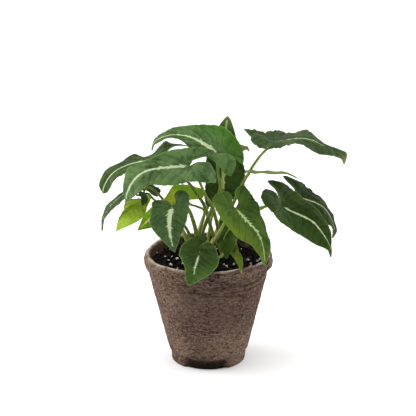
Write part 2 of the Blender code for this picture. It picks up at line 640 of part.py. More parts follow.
def make_soil(parts, cutters, paint):
    """Soil that fills the pot, with a plain hole for each clump."""
    profile = [
        (0, SOIL_TOP),
        (18 * MM, SOIL_TOP),
        (38 * MM, SOIL_TOP - 0.6 * MM),
        (WALL_HEAD[0] - POT_WALL - GAP, SOIL_EDGE),
        (WALL_HEAD[0] - POT_WALL - GAP, WALL_HEAD[1]),
        (WALL_FOOT[0] - POT_WALL - GAP, WALL_FOOT[1]),
        (FOOT_RADIUS - POT_WALL - GAP, FLOOR + GAP),
        (0, FLOOR + GAP),
    ]
    soil = turned("soil", profile, POT_STEPS, parts, paint)
    for clump, (x, y) in CLUMP_PLACES.items():
        bpy.ops.mesh.primitive_cylinder_add(
            vertices=14, radius=KNOB_RADIUS + 2 * GAP, depth=40 * MM,
            location=(x, y, KNOB_BOTTOM - GAP + 20 * MM),
        )
        cutter = as_cutter(bpy.context.object, "stem_hole_cutter_" + clump, cutters)
        hole = soil.modifiers.new("Hole " + clump, "BOOLEAN")
        hole.operation = "DIFFERENCE"
        hole.solver = "EXACT"
        hole.object = cutter
    return soil


def build():
    clear_scene()
    parts = collection("potted_syngonium")
    cutters = collection("cutters")
    paints = {name: material(name, colour, 0.9 if name in ("fibre", "soil") else 0.45)
              for name, colour in COLOURS.items()}
    make_pot(parts, cutters, paints["fibre"])
    make_soil(parts, cutters, paints["soil"])
    for clump in CLUMP_PLACES:
        make_clump(clump, parts, paints["petiole"])
    for name in LEAVES:
        make_blade(name, parts, paints[LEAF_COLOURS.get(name, "leaf_dark")])


build()
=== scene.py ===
# %% [markdown]
# # A young arrowhead plant in a fibre pot
# The real object is a houseplant a hand and a half high. Dark green, arrow-shaped blades with a cream
# stripe along the midrib stand on thin petioles, which come up in three clumps from black potting soil.
# The pot is pressed brown fibre, wider at its rolled rim than at its foot.
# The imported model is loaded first. It fixes where every piece is, and each new piece stands for one node.

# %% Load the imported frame
import math

import bmesh
import bpy
import numpy as np
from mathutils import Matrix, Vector, noise


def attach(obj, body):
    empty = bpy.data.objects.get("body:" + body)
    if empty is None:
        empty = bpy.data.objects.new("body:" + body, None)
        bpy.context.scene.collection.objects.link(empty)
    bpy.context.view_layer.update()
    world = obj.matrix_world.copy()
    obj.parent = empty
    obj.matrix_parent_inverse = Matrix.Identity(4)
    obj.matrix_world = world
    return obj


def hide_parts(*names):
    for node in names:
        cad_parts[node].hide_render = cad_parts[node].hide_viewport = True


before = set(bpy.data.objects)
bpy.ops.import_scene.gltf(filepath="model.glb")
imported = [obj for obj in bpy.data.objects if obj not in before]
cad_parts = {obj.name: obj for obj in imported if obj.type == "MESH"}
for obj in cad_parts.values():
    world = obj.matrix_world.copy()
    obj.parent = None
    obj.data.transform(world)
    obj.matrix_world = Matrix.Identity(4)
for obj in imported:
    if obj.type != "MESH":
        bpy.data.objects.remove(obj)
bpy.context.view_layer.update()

print("nodes in the frame:", len(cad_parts))

# %% [markdown]
# ## Units, chance and placing a finished piece
# The sizes of a plant are easiest to read in millimetres, while Blender works in metres, so each length is
# written as a number times MM. Anything drawn by lot comes from one seeded generator, so that every run
# gives the same plant. Each piece rides on the part's only body, and stands for the node of its name.

# %% Shared helpers
MM = 0.001
ROOT = "root"
dice = np.random.default_rng(7)
made = bpy.data.collections.new("syngonium_pieces")
bpy.context.scene.collection.children.link(made)


def settle(item, node, materials):
    """Link a piece, dress it, and let it stand for a node of the frame."""
    made.objects.link(item)
    item.data.materials.clear()
    for material in materials:
        item.data.materials.append(material)
    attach(item, ROOT)
    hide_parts(node)


def srgb(red, green, blue):
    """A colour as read in a paint box, 0 to 255, made linear for the shader."""
    parts = np.array((red, green, blue)) / 255
    linear = np.where(parts > 0.04045, ((parts + 0.055) / 1.055) ** 2.4, parts / 12.92)
    return (*map(float, linear), 1.0)


def smooth_step(value, low, high):
    share = np.clip((value - low) / (high - low), 0, 1)
    return share * share * (3 - 2 * share)


print("half grey for the shader:", round(srgb(128, 128, 128)[0], 3))

# %% [markdown]
# ## Small words for shader nodes
# A procedural material is a chain of nodes. A few short helpers keep that chain readable. One adds any node
# and fills its sockets, and the others name the steps that come back in every finish here, such as a soft
# step, a blend of two colours or a cloud of noise.

# %% Node helpers
def is_socket(value):
    return isinstance(value, bpy.types.NodeSocket)


def fill(tree, item, values):
    """Link the sockets that are given a socket, and set those that are given a plain value."""
    for key, value in values.items():
        if is_socket(value):
            tree.links.new(value, item.inputs[key])
        elif value is not None:
            item.inputs[key].default_value = value


def node(tree, kind, values=(), output=0, **settings):
    """Add a node, set its options, fill its sockets by name or in order, and hand back one output."""
    new = tree.nodes.new("ShaderNode" + kind)
    for key, value in settings.items():
        setattr(new, key, value)
    fill(tree, new, values if isinstance(values, dict) else dict(enumerate(values)))
    return new.outputs[output]


def maths(tree, operation, first, second=0.0):
    return node(tree, "Math", (first, second), operation=operation)


def plus(tree, first, second):
    return maths(tree, "ADD", first, second)


def minus(tree, first, second):
    return maths(tree, "SUBTRACT", first, second)


def times(tree, first, second):
    return maths(tree, "MULTIPLY", first, second)


def split(tree, vector):
    """The three parts of a vector, each as a socket."""
    return node(tree, "SeparateXYZ", (vector,)).node.outputs


def soft_step(tree, value, low, high, bottom=0.0, top=1.0):
    return node(tree, "MapRange", (value, low, high, bottom, top), interpolation_type="SMOOTHSTEP")


def blend(tree, share, first, second):
    """Mix two colours, each a socket or three numbers as read in a paint box."""
    first, second = (colour if is_socket(colour) else srgb(*colour) for colour in (first, second))
    return node(tree, "Mix", {0: share, 6: first, 7: second}, output=2, data_type="RGBA")


def between(first, second, share):
    """A colour part of the way from one plain colour to another."""
    return [(1 - share) * a + share * b for a, b in zip(first, second)]


# %% [markdown]
# Patterns come from noise at the place on the object, so they stay on the piece from every side and need no
# unwrapping. What only the shape knows, such as how far a spot lies from a vein, is kept at the points of
# the mesh, and the material reads it from there.

# %% Patterns and stored numbers
def grain(tree, place, scale, detail=3.0, rough=0.55):
    return node(tree, "TexNoise", {0: place, "Scale": scale, "Detail": detail, "Roughness": rough})


def upright(tree, place, factor):
    """The place with its height times a factor: above one, patterns lie flat; below one, they stand."""
    return node(tree, "Mapping", {0: place, "Scale": (1.0, 1.0, factor)})


def stored(tree, title):
    """The three numbers that the mesh keeps at each of its points under a title."""
    return split(tree, node(tree, "Attribute", output=1, attribute_name=title))


def stored_number(tree, title):
    return node(tree, "Attribute", output=2, attribute_name=title)


def keep_at_points(mesh, title, values):
    """Keep a number or a vector at each point of a mesh, for its material to read."""
    values = np.asarray(values, float)
    kind, field = ("FLOAT", "value") if values.ndim == 1 else ("FLOAT_VECTOR", "vector")
    mesh.attributes.new(title, kind, "POINT").data.foreach_set(field, values.ravel())


# %% Start and end of a material
def new_material(name):
    """A material with its node tree, its shader and the place in metres on the object."""
    material = bpy.data.materials.new(name)
    material.use_nodes = True
    tree = material.node_tree
    return material, tree, tree.nodes["Principled BSDF"], node(tree, "TexCoord", output=3)


def dress(tree, shader, colour, rough, shine=None, height=None, strength=1.0, depth=0.0):
    """Join colour, roughness, shine and a fine relief, whose depth is in metres, to the shader."""
    bump = None
    if height is not None:
        bump = node(tree, "Bump", {"Strength": strength, "Distance": depth, "Height": height})
    looks = {"Base Color": colour, "Roughness": rough, "Specular IOR Level": shine, "Normal": bump}
    fill(tree, shader, looks)


print("materials so far:", len(bpy.data.materials))

# %% [markdown]
# ## The camera
# The pot's ellipse in the photograph tells how steeply the camera looks down, and the pot's known size tells
# how far away it stands. The camera comes before the plant, because the leaves are placed through it.

# %% Camera
PICTURE_CENTRE = 208.0
PICTURE_WIDTH = 416.0
FOCAL_POINTS = 1200.0
CAMERA_DISTANCE = 1200 * MM
AIM_HEIGHT = 160.3 * MM
LOOK_DOWN = math.radians(17.4)
AXIS_COLUMN = 208.3
SENSOR_WIDTH = 36.0

EYE = np.array([
    (PICTURE_CENTRE - AXIS_COLUMN) * MM,
    -CAMERA_DISTANCE * math.cos(LOOK_DOWN),
    AIM_HEIGHT + CAMERA_DISTANCE * math.sin(LOOK_DOWN),
])
lens = bpy.data.cameras.new("camera")
lens.sensor_width = SENSOR_WIDTH
lens.lens = FOCAL_POINTS / PICTURE_WIDTH * SENSOR_WIDTH
camera = bpy.data.objects.new("camera", lens)
camera.location = EYE
camera.rotation_euler = (math.pi / 2 - LOOK_DOWN, 0, 0)
bpy.context.scene.collection.objects.link(camera)
bpy.context.scene.camera = camera
print("camera height in mm:", round(EYE[2] / MM))


def ray_to(column, row):
    """The way from the eye through a picture point."""
    return np.array([
        column - PICTURE_CENTRE,
        FOCAL_POINTS * math.cos(LOOK_DOWN) + (PICTURE_CENTRE - row) * math.sin(LOOK_DOWN),
        (PICTURE_CENTRE - row) * math.cos(LOOK_DOWN) - FOCAL_POINTS * math.sin(LOOK_DOWN),
    ])


def seen(column, row, depth):
    """The place of a picture point that lies depth millimetres behind the pot's axis."""
    ray = ray_to(column, row)
    return EYE + ray * (depth * MM - EYE[1]) / ray[1]


def seen_on_level(column, row, height):
    """The place of a picture point on a level plane."""
    ray = ray_to(column, row)
    return EYE + ray * (height - EYE[2]) / ray[2]


# %% [markdown]
# ## The leaves' places
# Each leaf droops and twists in its own way, so no single bend describes them. A handful of points is listed
# instead: picture column, picture row and depth in millimetres behind the pot's axis. Every point has a
# fixed spot on the flat leaf, such as the tip or the widest place of the right half.

# %% Placed points of the blades
LEAVES = {
    "leaf_crown": dict(
        base=(216.6, 152.3, 0), middle=(186, 136, -5), tip=(151, 149.8, -12),
        right=dict(
            point=(154.5, 139, -6), taper=(162, 133.3, 2), front=(172, 128.2, 10), wide=(222, 126.5, 14),
            back=(241.5, 146.5, 12), lobe=(243, 164.6, 8), inner=(231, 157, 7),
        ),
        left=dict(
            point=(153.5, 145, -12), taper=(164, 139.3, -10), front=(178, 139, -11),
            side=(187.5, 146.3, -11), wide=(203, 156, -9), back=(217, 164.5, -7), lobe=(231.3, 176, -3),
            cleft=(236, 164, -3), inner=(229, 154.5, 0),
        ),
    ),
    "leaf_left_front": dict(
        base=(189.2, 165.4, -26), middle=(148, 170.3, -31), tip=(125.9, 202.5, -34),
        right=dict(
            point=(122.8, 187, -30), taper=(126, 173, -24), front=(134.5, 164.8, -19),
            side=(154, 156.8, -20), shoulder=(169, 150.3, -19), wide=(187, 147.8, -22),
            back=(203, 147.3, -21), lobe=(215.3, 153.6, -21), cleft=(206, 156.8, -22),
            inner=(193.5, 159.5, -24),
        ),
        left=dict(
            point=(131, 198.5, -38), taper=(140, 191.3, -41), front=(150, 184.6, -40),
            side=(163, 185.8, -43), wide=(193, 181.5, -44), back=(214.5, 183, -40),
            lobe=(215.3, 173, -32), cleft=(209.5, 163.5, -30), inner=(199, 161.8, -30),
        ),
    ),
    "leaf_left_back": dict(
        base=(161, 156.5, 14), middle=(124, 166.2, 10), tip=(103, 193.6, 6),
        right=dict(
            point=(99.2, 185, 10), taper=(104, 172, 17), front=(118, 163.8, 24), side=(134, 154.2, 28),
            shoulder=(146.5, 157.3, 31), wide=(161, 144.5, 33), back=(174, 143.8, 33),
            lobe=(188, 147, 28), cleft=(177, 145.8, 26), inner=(169.5, 148.5, 22),
        ),
        left=dict(
            point=(107.3, 191.3, 3), taper=(113.5, 182, 0), front=(122.5, 174.2, -2), wide=(158, 172, -6),
            lobe=(182, 170, 4),
        ),
    ),
    "leaf_left_low": dict(
        base=(136, 190.5, 6), middle=(116, 200, 5), neck=(102.3, 220, 3), tip=(101.2, 230.6, 2),
        right=dict(
            front=(110, 202.5, 17), wide=(145, 184, 24), back=(160, 189, 24), lobe=(157, 197, 20),
            inner=(147, 190.5, 12),
        ),
        left=dict(
            front=(116, 206, -7), wide=(139, 194, -8), back=(140.5, 200, -9), lobe=(144, 206, -8),
            cleft=(147, 200, -7), inner=(144.5, 194, -1),
        ),
    ),
    "leaf_pale_hanging": dict(
        base=(142, 199, 3), middle=(131, 211, -1), tip=(116.2, 230.9, -8),
        right=dict(
            taper=(117.3, 222.5, -2), front=(119.5, 217, 2), wide=(124.3, 208.5, 4),
            back=(124.5, 201.5, 4), lobe=(129, 199.5, 4), inner=(137, 199, 2),
        ),
        left=dict(
            taper=(128, 226.3, -7), front=(139.5, 220.3, -4), wide=(147.4, 206, 2), lobe=(147.5, 196, 5),
            inner=(144.5, 195, 6),
        ),
    ),
    "leaf_bright_small": dict(
        base=(164, 208, -12), middle=(150.5, 218.5, -14), tip=(137.4, 230.6, -18),
        right=dict(
            front=(145, 213.5, -10), wide=(160, 202, -6), lobe=(166, 201, -4),
        ),
        left=dict(
            front=(152, 227.5, -14), wide=(166, 222, -12), lobe=(175, 214, -6),
        ),
    ),
    "leaf_yellow_young": dict(
        base=(187, 200.5, 10), middle=(176, 198, -3), tip=(164, 199.5, -16),
        right=dict(
            front=(171.5, 187, 0), wide=(183, 184.5, 18), back=(201, 188.5, 32), lobe=(202.8, 198, 30),
            cleft=(196.5, 199.5, 24), inner=(190.5, 199.5, 17),
        ),
        left=dict(
            front=(171.5, 206.5, -14), wide=(180, 208, -6), back=(187, 206.5, 3), lobe=(192, 204, 7),
            inner=(189.5, 202.3, 9),
        ),
    ),
    "leaf_front_left": dict(
        base=(172, 206.9, -40), middle=(169.5, 229, -42), tip=(174.7, 252.5, -46),
        right=dict(
            taper=(164.5, 242.5, -44), front=(155, 233, -42), side=(149.8, 224, -40),
            wide=(150.8, 212, -36), back=(151.6, 204, -34), lobe=(157.5, 199.8, -34),
            cleft=(166.5, 200.6, -36), inner=(170.5, 203.5, -38),
        ),
        left=dict(
            taper=(178.5, 242, -44), front=(183.5, 229.5, -42), wide=(189, 208, -37),
            back=(188, 193.5, -33), lobe=(178.5, 190.3, -34), cleft=(174.2, 194.5, -36),
            inner=(175.5, 201, -38),
        ),
    ),
    "leaf_front_middle": dict(
        base=(200, 250, -44), middle=(194.8, 268, -63), tip=(188.3, 285.3, -77),
        right=dict(
            taper=(185.3, 277, -72), front=(184.3, 266, -65), wide=(179.3, 253, -50),
            back=(184.5, 242.5, -43), lobe=(203, 233.3, -36), cleft=(207.5, 238, -37),
            inner=(204, 244, -40),
        ),
        left=dict(
            taper=(201, 280, -75), front=(211.5, 273, -71), wide=(218.8, 258, -54),
            back=(215.8, 247.5, -49), lobe=(210, 242.3, -46), cleft=(205, 242.5, -45.5),
            inner=(201, 245.5, -45),
        ),
    ),
    "leaf_front_right": dict(
        base=(236, 207.8, -32), middle=(257, 231.5, -42), tip=(265.3, 266, -50),
        right=dict(
            taper=(256.5, 251.5, -50), front=(249.5, 244.2, -48), side=(237, 237.6, -50),
            shoulder=(227, 225.5, -48), wide=(217, 212, -46), back=(215.5, 194.5, -35),
            lobe=(227.5, 191.8, -29), cleft=(232.3, 197.5, -30), inner=(231.8, 203.5, -32),
        ),
        left=dict(
            taper=(270.7, 247.5, -42), front=(268.3, 235, -36), side=(263.5, 221.5, -30),
            wide=(257.5, 203, -24), back=(250, 192.5, -20), lobe=(241.5, 185, -18),
            cleft=(234.8, 191.8, -21), inner=(238.2, 201.5, -27),
        ),
    ),
    "leaf_right_front": dict(
        base=(282.7, 205.3, -10), middle=(313, 221.8, -14), neck=(330, 245.5, -16),
        tip=(331.5, 257.2, -18),
        right=dict(
            point=(328, 250.3, -19), taper=(316, 245, -18), front=(303.5, 237.3, -18),
            wide=(277, 217.5, -30), back=(261, 197, -28), lobe=(265, 188.8, -22),
            inner=(276.5, 194.5, -14),
        ),
        left=dict(
            point=(331.5, 246, -15), taper=(330.5, 231, -12), front=(320.5, 213, -6),
            side=(310, 203.5, 0), wide=(296.5, 192.5, 8), back=(282, 182.5, 8), lobe=(267.4, 180.6, 4),
            inner=(276, 190.5, -4),
        ),
    ),
    "leaf_right_back": dict(
        base=(298.5, 197, 16), middle=(324, 207.3, 14), neck=(334.8, 229.3, 10), tip=(333.3, 238, 5),
        right=dict(
            point=(333.3, 229.8, 8), taper=(329.5, 225.5, 6), front=(319, 222, 2), wide=(291, 211, 0),
            lobe=(280, 203, 6),
        ),
        left=dict(
            point=(336.8, 231, 12), taper=(334.3, 219, 17), front=(330.5, 211, 22), side=(319.5, 197, 26),
            wide=(309, 188.5, 30), back=(299, 181.5, 30), lobe=(283, 175.7, 28), inner=(294, 188, 20),
        ),
    ),
    "leaf_right_top": dict(
        base=(274, 141.5, -4), middle=(315, 140.9, -5), neck=(343, 154, -8), tip=(345, 164, -8),
        right=dict(
            point=(341, 158.5, -11), taper=(333, 156, -14), front=(317, 153.8, -16),
            side=(305, 145.8, -18), shoulder=(291, 144.2, -22), wide=(276, 148.1, -24),
            back=(257, 146.6, -20), lobe=(250.3, 139.5, -13), cleft=(253, 134.7, -9),
            inner=(263, 136, -6),
        ),
        left=dict(
            point=(346.6, 152.6, -4), taper=(331, 147, 0), front=(316, 137.3, 8), side=(306, 130, 16),
            shoulder=(291, 132, 20), wide=(275, 131, 20), lobe=(243.8, 129.5, 8), cleft=(252.5, 137, 6),
            inner=(263, 139.5, 3),
        ),
    ),
    "leaf_right_thin": dict(
        base=(249, 171, 44), middle=(272, 172, 42), neck=(289, 173.2, 38), tip=(297.3, 177.6, 34),
        right=dict(
            front=(275, 174, 30), wide=(250, 172.5, 28), lobe=(240, 172.5, 34),
        ),
        left=dict(
            front=(277, 171.6, 56), wide=(249, 170.5, 60), lobe=(236, 170, 54),
        ),
    ),
    "leaf_back": dict(
        base=(223, 193, 24), middle=(223.4, 158, 30), tip=(227.8, 116.3, 26),
        right=dict(
            point=(232.6, 124.5, 27), taper=(235.6, 135.5, 28), front=(239.5, 149, 30),
            wide=(244.8, 174, 22), lobe=(236, 200, 16),
        ),
        left=dict(
            point=(220.3, 124, 27), taper=(214.5, 137, 28), front=(208, 152, 30), wide=(205.3, 185, 20),
            lobe=(211, 207, 12),
        ),
    ),
    "leaf_back_small": dict(
        base=(226, 150, 50), middle=(239, 146.5, 50), tip=(249.8, 150.8, 47),
        right=dict(
            front=(245, 150, 44), wide=(228, 155, 42), lobe=(219, 153, 44),
        ),
        left=dict(
            front=(246, 145.8, 54), wide=(228, 146, 58), lobe=(219, 147, 56),
        ),
    ),
    "leaf_inner_shaded": dict(
        base=(231, 224, -20), middle=(223.6, 240, -28), tip=(226.3, 259, -33),
        right=dict(
            taper=(222.6, 252, -28), front=(219.5, 247, -27), wide=(217.5, 236, -19),
            lobe=(224, 218, -10), inner=(227.5, 220, -15),
        ),
        left=dict(
            taper=(230, 254, -30), front=(233.5, 248.5, -28), wide=(238.5, 236, -16),
            lobe=(238, 217, -10), inner=(234.8, 219.5, -15),
        ),
    ),
    "leaf_inner_narrow": dict(
        base=(231, 241, -13), middle=(237.6, 256, -34), tip=(241.3, 273, -68),
        right=dict(
            front=(235.6, 261, -42), wide=(228.5, 250, -16), lobe=(227, 237, -6), inner=(229.6, 239, -11),
        ),
        left=dict(
            front=(243, 261, -44), wide=(237, 245, -15), lobe=(235.5, 234, -6), inner=(232.8, 238, -11),
        ),
    ),
}
SMALL_LEAVES = {
    "leaf_bright_small", "leaf_yellow_young", "leaf_right_thin", "leaf_back_small",
    "leaf_inner_shaded", "leaf_inner_narrow", "leaf_pale_hanging",
}
print("leaves:", len(LEAVES))

# %% [markdown]
# The petioles are listed the same way, from the soil up. Each one has the clump that it belongs to, its
# radius in mm at the soil and at the blade, and the points that it passes on its way.

# %% Placed points of the petioles
PETIOLES = {
    "leaf_bright_small": ("left", 2.0, 1.1, [(187, 238, 0), (178, 222, 0)]),
    "leaf_pale_hanging": ("left", 2.0, 1.1, [
        (190.5, 237, 4), (184, 225, 4), (172, 211, 4), (161, 197, 4), (152, 188.5, 5), (146, 187.8, 7),
    ]),
    "leaf_left_low": ("left", 2.0, 1.1, [
        (186, 239, 12), (182, 231, 12), (168, 213, 12), (153.2, 198.8, 14), (147.5, 193.5, 15),
    ]),
    "leaf_yellow_young": ("left", 2.0, 1.0, [(200, 231, 6), (204.6, 212.1, 10), (197, 206.5, 14)]),
    "leaf_front_left": ("left", 2.9, 1.5, [(197, 238, 4), (193, 220, -8), (186.5, 207, -22)]),
    "leaf_back": ("left", 2.4, 1.3, [(198.9, 231.2, 18), (208.4, 206.4, 28)]),
    "leaf_crown": ("left", 2.4, 1.3, [
        (202.7, 232.2, 12), (211.3, 210.2, 6), (220.2, 190, 9), (218.4, 174, 11), (217.2, 163, 9),
    ]),
    "leaf_right_top": ("middle", 2.6, 1.3, [
        (213, 241, 23), (222.9, 223.6, 17), (233, 204, 8), (242.3, 184.5, 0), (255, 163, -6), (266, 150, -8),
    ]),
    "leaf_right_thin": ("middle", 2.2, 1.1, [(214, 238, 32), (226, 205, 40), (236, 182, 42)]),
    "leaf_back_small": ("middle", 2.2, 1.0, [(208, 238, 34), (214, 205, 44), (218, 175, 50)]),
    "leaf_left_front": ("right", 2.4, 1.3, [
        (218.4, 228.9, 2), (212.3, 206.4, -8), (205.6, 196, -12), (199.8, 182.4, -17),
    ]),
    "leaf_left_back": ("right", 2.4, 1.3, [
        (212.3, 231.2, 14), (205.6, 208.3, 16), (196, 192, 13), (188, 182, 15), (172, 166, 22),
    ]),
    "leaf_front_right": ("left", 2.2, 1.3, [
        (207, 250.5, -9), (214, 241, -24), (222, 227.5, -31), (229.5, 214.5, -31),
    ]),
    "leaf_right_front": ("right", 2, 0.8, [
        (232, 235, 6), (246, 217, -4), (259.3, 210, -8), (268, 206.3, -8),
    ]),
    "leaf_right_back": ("right", 2, 0.8, [
        (234, 230, 14), (246, 213.5, 8), (259.3, 207.8, 6), (280, 203, 12),
    ]),
    "leaf_front_middle": ("right", 1.8, 1.0, [(223.8, 252.5, 0), (219, 257.5, -20), (207, 255, -36)]),
    "leaf_inner_shaded": ("right", 1.8, 1.0, [(223, 242, -3), (229, 229, -8)]),
    "leaf_inner_narrow": ("right", 1.6, 0.9, [(231, 247, 2)]),
}
CLUMP_PLACES = {"left": (-14 * MM, 12 * MM), "middle": (1 * MM, 26 * MM), "right": (17 * MM, 12 * MM)}
print("petioles:", len(PETIOLES), "in", len(CLUMP_PLACES), "clumps")

# %% [markdown]
# ## A sheet through the placed points
# The flat leaf is an outline: half a blade from its tip to the end of its lobe, and the midrib that turns
# into the open cleft. Across counts from the midrib to the widest place, and along from base to tip. Every
# named point of the tables has its fixed spot in these shares.

# %% Flat leaf
HALF_WIDTH = 0.36
OUTER_EDGE = [
    (0, 1), (0.09, 0.955), (0.20, 0.875), (0.40, 0.755), (0.65, 0.575), (0.85, 0.38),
    (0.965, 0.19), (1, 0.04), (0.97, -0.14), (0.87, -0.30), (0.71, -0.40), (0.52, -0.43),
]
INNER_EDGE = [
    (0, 1), (0, 0.93), (0, 0.82), (0, 0.66), (0, 0.47), (0, 0.29),
    (0, 0.12), (0, 0), (0.09, -0.09), (0.20, -0.22), (0.34, -0.35), (0.52, -0.43),
]
ON_MIDRIB = {"base": (0, 0), "middle": (0, 0.5), "neck": (0, 0.86), "tip": (0, 1)}
ON_HALF = {
    "point": (0.20, 0.875), "taper": (0.40, 0.755), "front": (0.65, 0.575), "side": (0.85, 0.38),
    "shoulder": (0.965, 0.19), "wide": (1, 0.04), "back": (0.87, -0.30), "lobe": (0.52, -0.43),
    "cleft": (0.34, -0.35), "inner": (0.20, -0.22),
}
SIDES = {"right": 1, "left": -1}


def through(points, shares):
    """Smooth curve through points, read at the given shares of its way."""
    points = np.asarray(points, float)
    ends = np.vstack([2 * points[0] - points[1], points, 2 * points[-1] - points[-2]])
    place = np.clip(np.asarray(shares) * (len(points) - 1), 0, len(points) - 1 - 1e-9)
    span = place.astype(int)
    f = (place - span)[:, None]
    a, b, c, d = (ends[span + step] for step in range(4))
    return 0.5 * (2 * b + (c - a) * f + (2 * a - 5 * b + 4 * c - d) * f**2 + (3 * b - a - 3 * c + d) * f**3)


print("leaf outline:", len(OUTER_EDGE), "points on each half")

# %% [markdown]
# A thin plate held at a few points takes the smoothest shape that passes through them. Solving one small
# system of equations gives that shape for any leaf, however it droops. A chain of bend modifiers could droop
# a leaf too, but can't be told where its tip and lobes have to end up.

# %% Bent sheets
class Sheet:
    """A thin plate bent so that its named flat points reach their places."""

    def __init__(self, points):
        pairs = [(ON_MIDRIB[name], point) for name, point in points.items() if name in ON_MIDRIB]
        for side, sign in SIDES.items():
            for part, point in points[side].items():
                across, along = ON_HALF[part]
                pairs.append(((across * sign, along), point))
        self.flat = np.array([flat for flat, _ in pairs], float) * (HALF_WIDTH, 1)
        places = np.array([seen(*point) for _, point in pairs])
        count = len(pairs)
        system = np.zeros((count + 3, count + 3))
        system[:count, :count] = self.pull(self.flat) + np.eye(count) * 1e-4
        system[:count, count:] = np.c_[np.ones(count), self.flat]
        system[count:, :count] = system[:count, count:].T
        self.weights = np.linalg.solve(system, np.vstack([places, np.zeros((3, 3))]))

    def pull(self, flat):
        squares = ((flat[:, None] - self.flat[None]) ** 2).sum(-1)
        return squares * np.log(squares + 1e-12)

    def at(self, shares):
        flat = np.atleast_2d(shares) * (HALF_WIDTH, 1)
        return np.c_[self.pull(flat), np.ones(len(flat)), flat] @ self.weights

    def normal(self, shares):
        step = 0.01
        shares = np.atleast_2d(shares)
        across = self.at(shares + (step, 0)) - self.at(shares - (step, 0))
        along = self.at(shares + (0, step)) - self.at(shares - (0, step))
        face = np.cross(across, along)
        return face / np.linalg.norm(face, axis=1, keepdims=True)


sheets = {name: Sheet(points) for name, points in LEAVES.items()}
print("sheets:", len(sheets))

# %% [markdown]
# ## How each leaf is marked
# All blades share one growth plan but differ in colour and stripe, so each look lists only what sets it
# apart. It has the deep and the light green, the cream of the stripe and a glow colour. The greens and the
# cream are partly each leaf's own colour and partly painted light and shade: leaves that sit in shade have
# darker ones, and the pale hanging leaf and the young yellow leaf are paler and yellower partly as painted
# light shining through them. The glow colour is painted light too: a lighter, yellower green where the blade
# catches the light and where light shines through it. Pull says where that painted glow sits: a start value,
# and how much it gains to the right, towards the tip and towards the margin. Stripe is where the stripe
# begins and ends along the midrib and its half width in mm, and spur is how far it feathers out, in mm.
# Ruffle makes the margin livelier. Vein is how bright the vein colour is beside the deep green; a darker
# vein colour is partly the veins' own colour and partly painted shade in their grooves.

# %% Looks
DARK_LEAF = dict(deep=(42, 62, 31), light=(70, 94, 52), glow=(88, 120, 46), pull=(-0.3, 0, 0.3, 0.5),
                 stripe=(0.02, 0.9, 1.4), spur=1.6, cream=(188, 202, 160), ruffle=1.0, vein=0.55)
LOOKS = {
    "leaf_crown": dict(deep=(53, 81, 34), light=(94, 120, 72), glow=(72, 126, 28),
                       pull=(-0.15, 0.35, -0.6, 0.5), stripe=(0.0, 0.95, 2.8), spur=2.8),
    "leaf_left_front": dict(deep=(50, 72, 38), light=(91, 118, 71), stripe=(0.02, 0.94, 2.0), spur=2.2),
    "leaf_left_back": dict(deep=(36, 54, 23), light=(60, 82, 39), stripe=(0.06, 0.93, 1.4), spur=1.4),
    "leaf_left_low": dict(deep=(34, 52, 24), light=(56, 78, 40), stripe=(0.2, 0.85, 0.9), spur=0.6,
                          ruffle=2.2),
    "leaf_pale_hanging": dict(deep=(129, 160, 40), light=(176, 205, 70), glow=(182, 200, 66), stripe=None,
                              ruffle=2.0, vein=1.25),
    "leaf_bright_small": dict(deep=(88, 128, 10), light=(120, 156, 22), glow=(136, 172, 34),
                              stripe=(0.3, 0.85, 1.6), spur=1.4, cream=(196, 210, 124)),
    "leaf_yellow_young": dict(deep=(144, 158, 22), light=(186, 192, 52), glow=(122, 168, 22),
                              pull=(0.0, 1.6, -0.5, 0), stripe=None, vein=1.1),
    "leaf_front_left": dict(deep=(48, 72, 38), light=(72, 97, 55), stripe=(0.02, 0.84, 1.8), spur=2.0),
    "leaf_front_middle": dict(deep=(39, 60, 24), light=(60, 82, 35), glow=(70, 104, 34),
                              pull=(-0.5, 0, 0.9, 0.8), stripe=(0.18, 0.64, 0.8), spur=0.8),
    "leaf_front_right": dict(deep=(47, 70, 28), light=(70, 96, 34), glow=(116, 140, 34),
                             pull=(-0.48, 0.5, 0.8, 0.3), stripe=(0.04, 0.92, 1.0), spur=2.2,
                             cream=(168, 188, 128)),
    "leaf_right_front": dict(deep=(30, 49, 16), light=(47, 67, 24), stripe=(0.03, 0.9, 1.0), spur=0.7),
    "leaf_right_back": dict(deep=(33, 47, 20), light=(50, 66, 30), glow=(88, 84, 46),
                            pull=(-1.2, 0, 1.6, 0), stripe=(0.05, 0.86, 0.8), spur=0.5,
                            cream=(184, 176, 150), ruffle=1.6),
    "leaf_right_top": dict(deep=(46, 64, 33), light=(68, 87, 50), glow=(112, 124, 42), pull=(-3.2, 0, 4, 0),
                           stripe=(0.01, 0.64, 1.2), spur=0.9, ruffle=2.8),
    "leaf_right_thin": dict(deep=(78, 96, 38), light=(102, 118, 54), stripe=None),
    "leaf_back": dict(deep=(46, 65, 26), light=(72, 97, 43), glow=(112, 140, 78), pull=(-2.4, 0, 3.2, 0),
                      stripe=(0.0, 0.93, 2.0), spur=2.2, cream=(194, 210, 140)),
    "leaf_back_small": dict(deep=(84, 88, 46), light=(106, 108, 60), stripe=None),
    "leaf_inner_shaded": dict(deep=(43, 65, 13), light=(62, 88, 24), stripe=(0.0, 0.5, 0.8), spur=0.3,
                              cream=(140, 168, 90)),
    "leaf_inner_narrow": dict(deep=(80, 95, 23), light=(102, 117, 36), stripe=None),
}
LOOKS = {name: {**DARK_LEAF, **LOOKS[name]} for name in LEAVES}
print("striped leaves:", sum(look["stripe"] is not None for look in LOOKS.values()))

# %% [markdown]
# ## Veins on the flat leaf
# Side veins leave the midrib forwards and bend towards the tip, and in the lobes they fan out backwards from
# the base. One number, the vein count, grows by one from each vein to the next. Where it is whole there is
# a vein, and halfway between two veins the blade bulges. The stripe's spurs follow the same number.

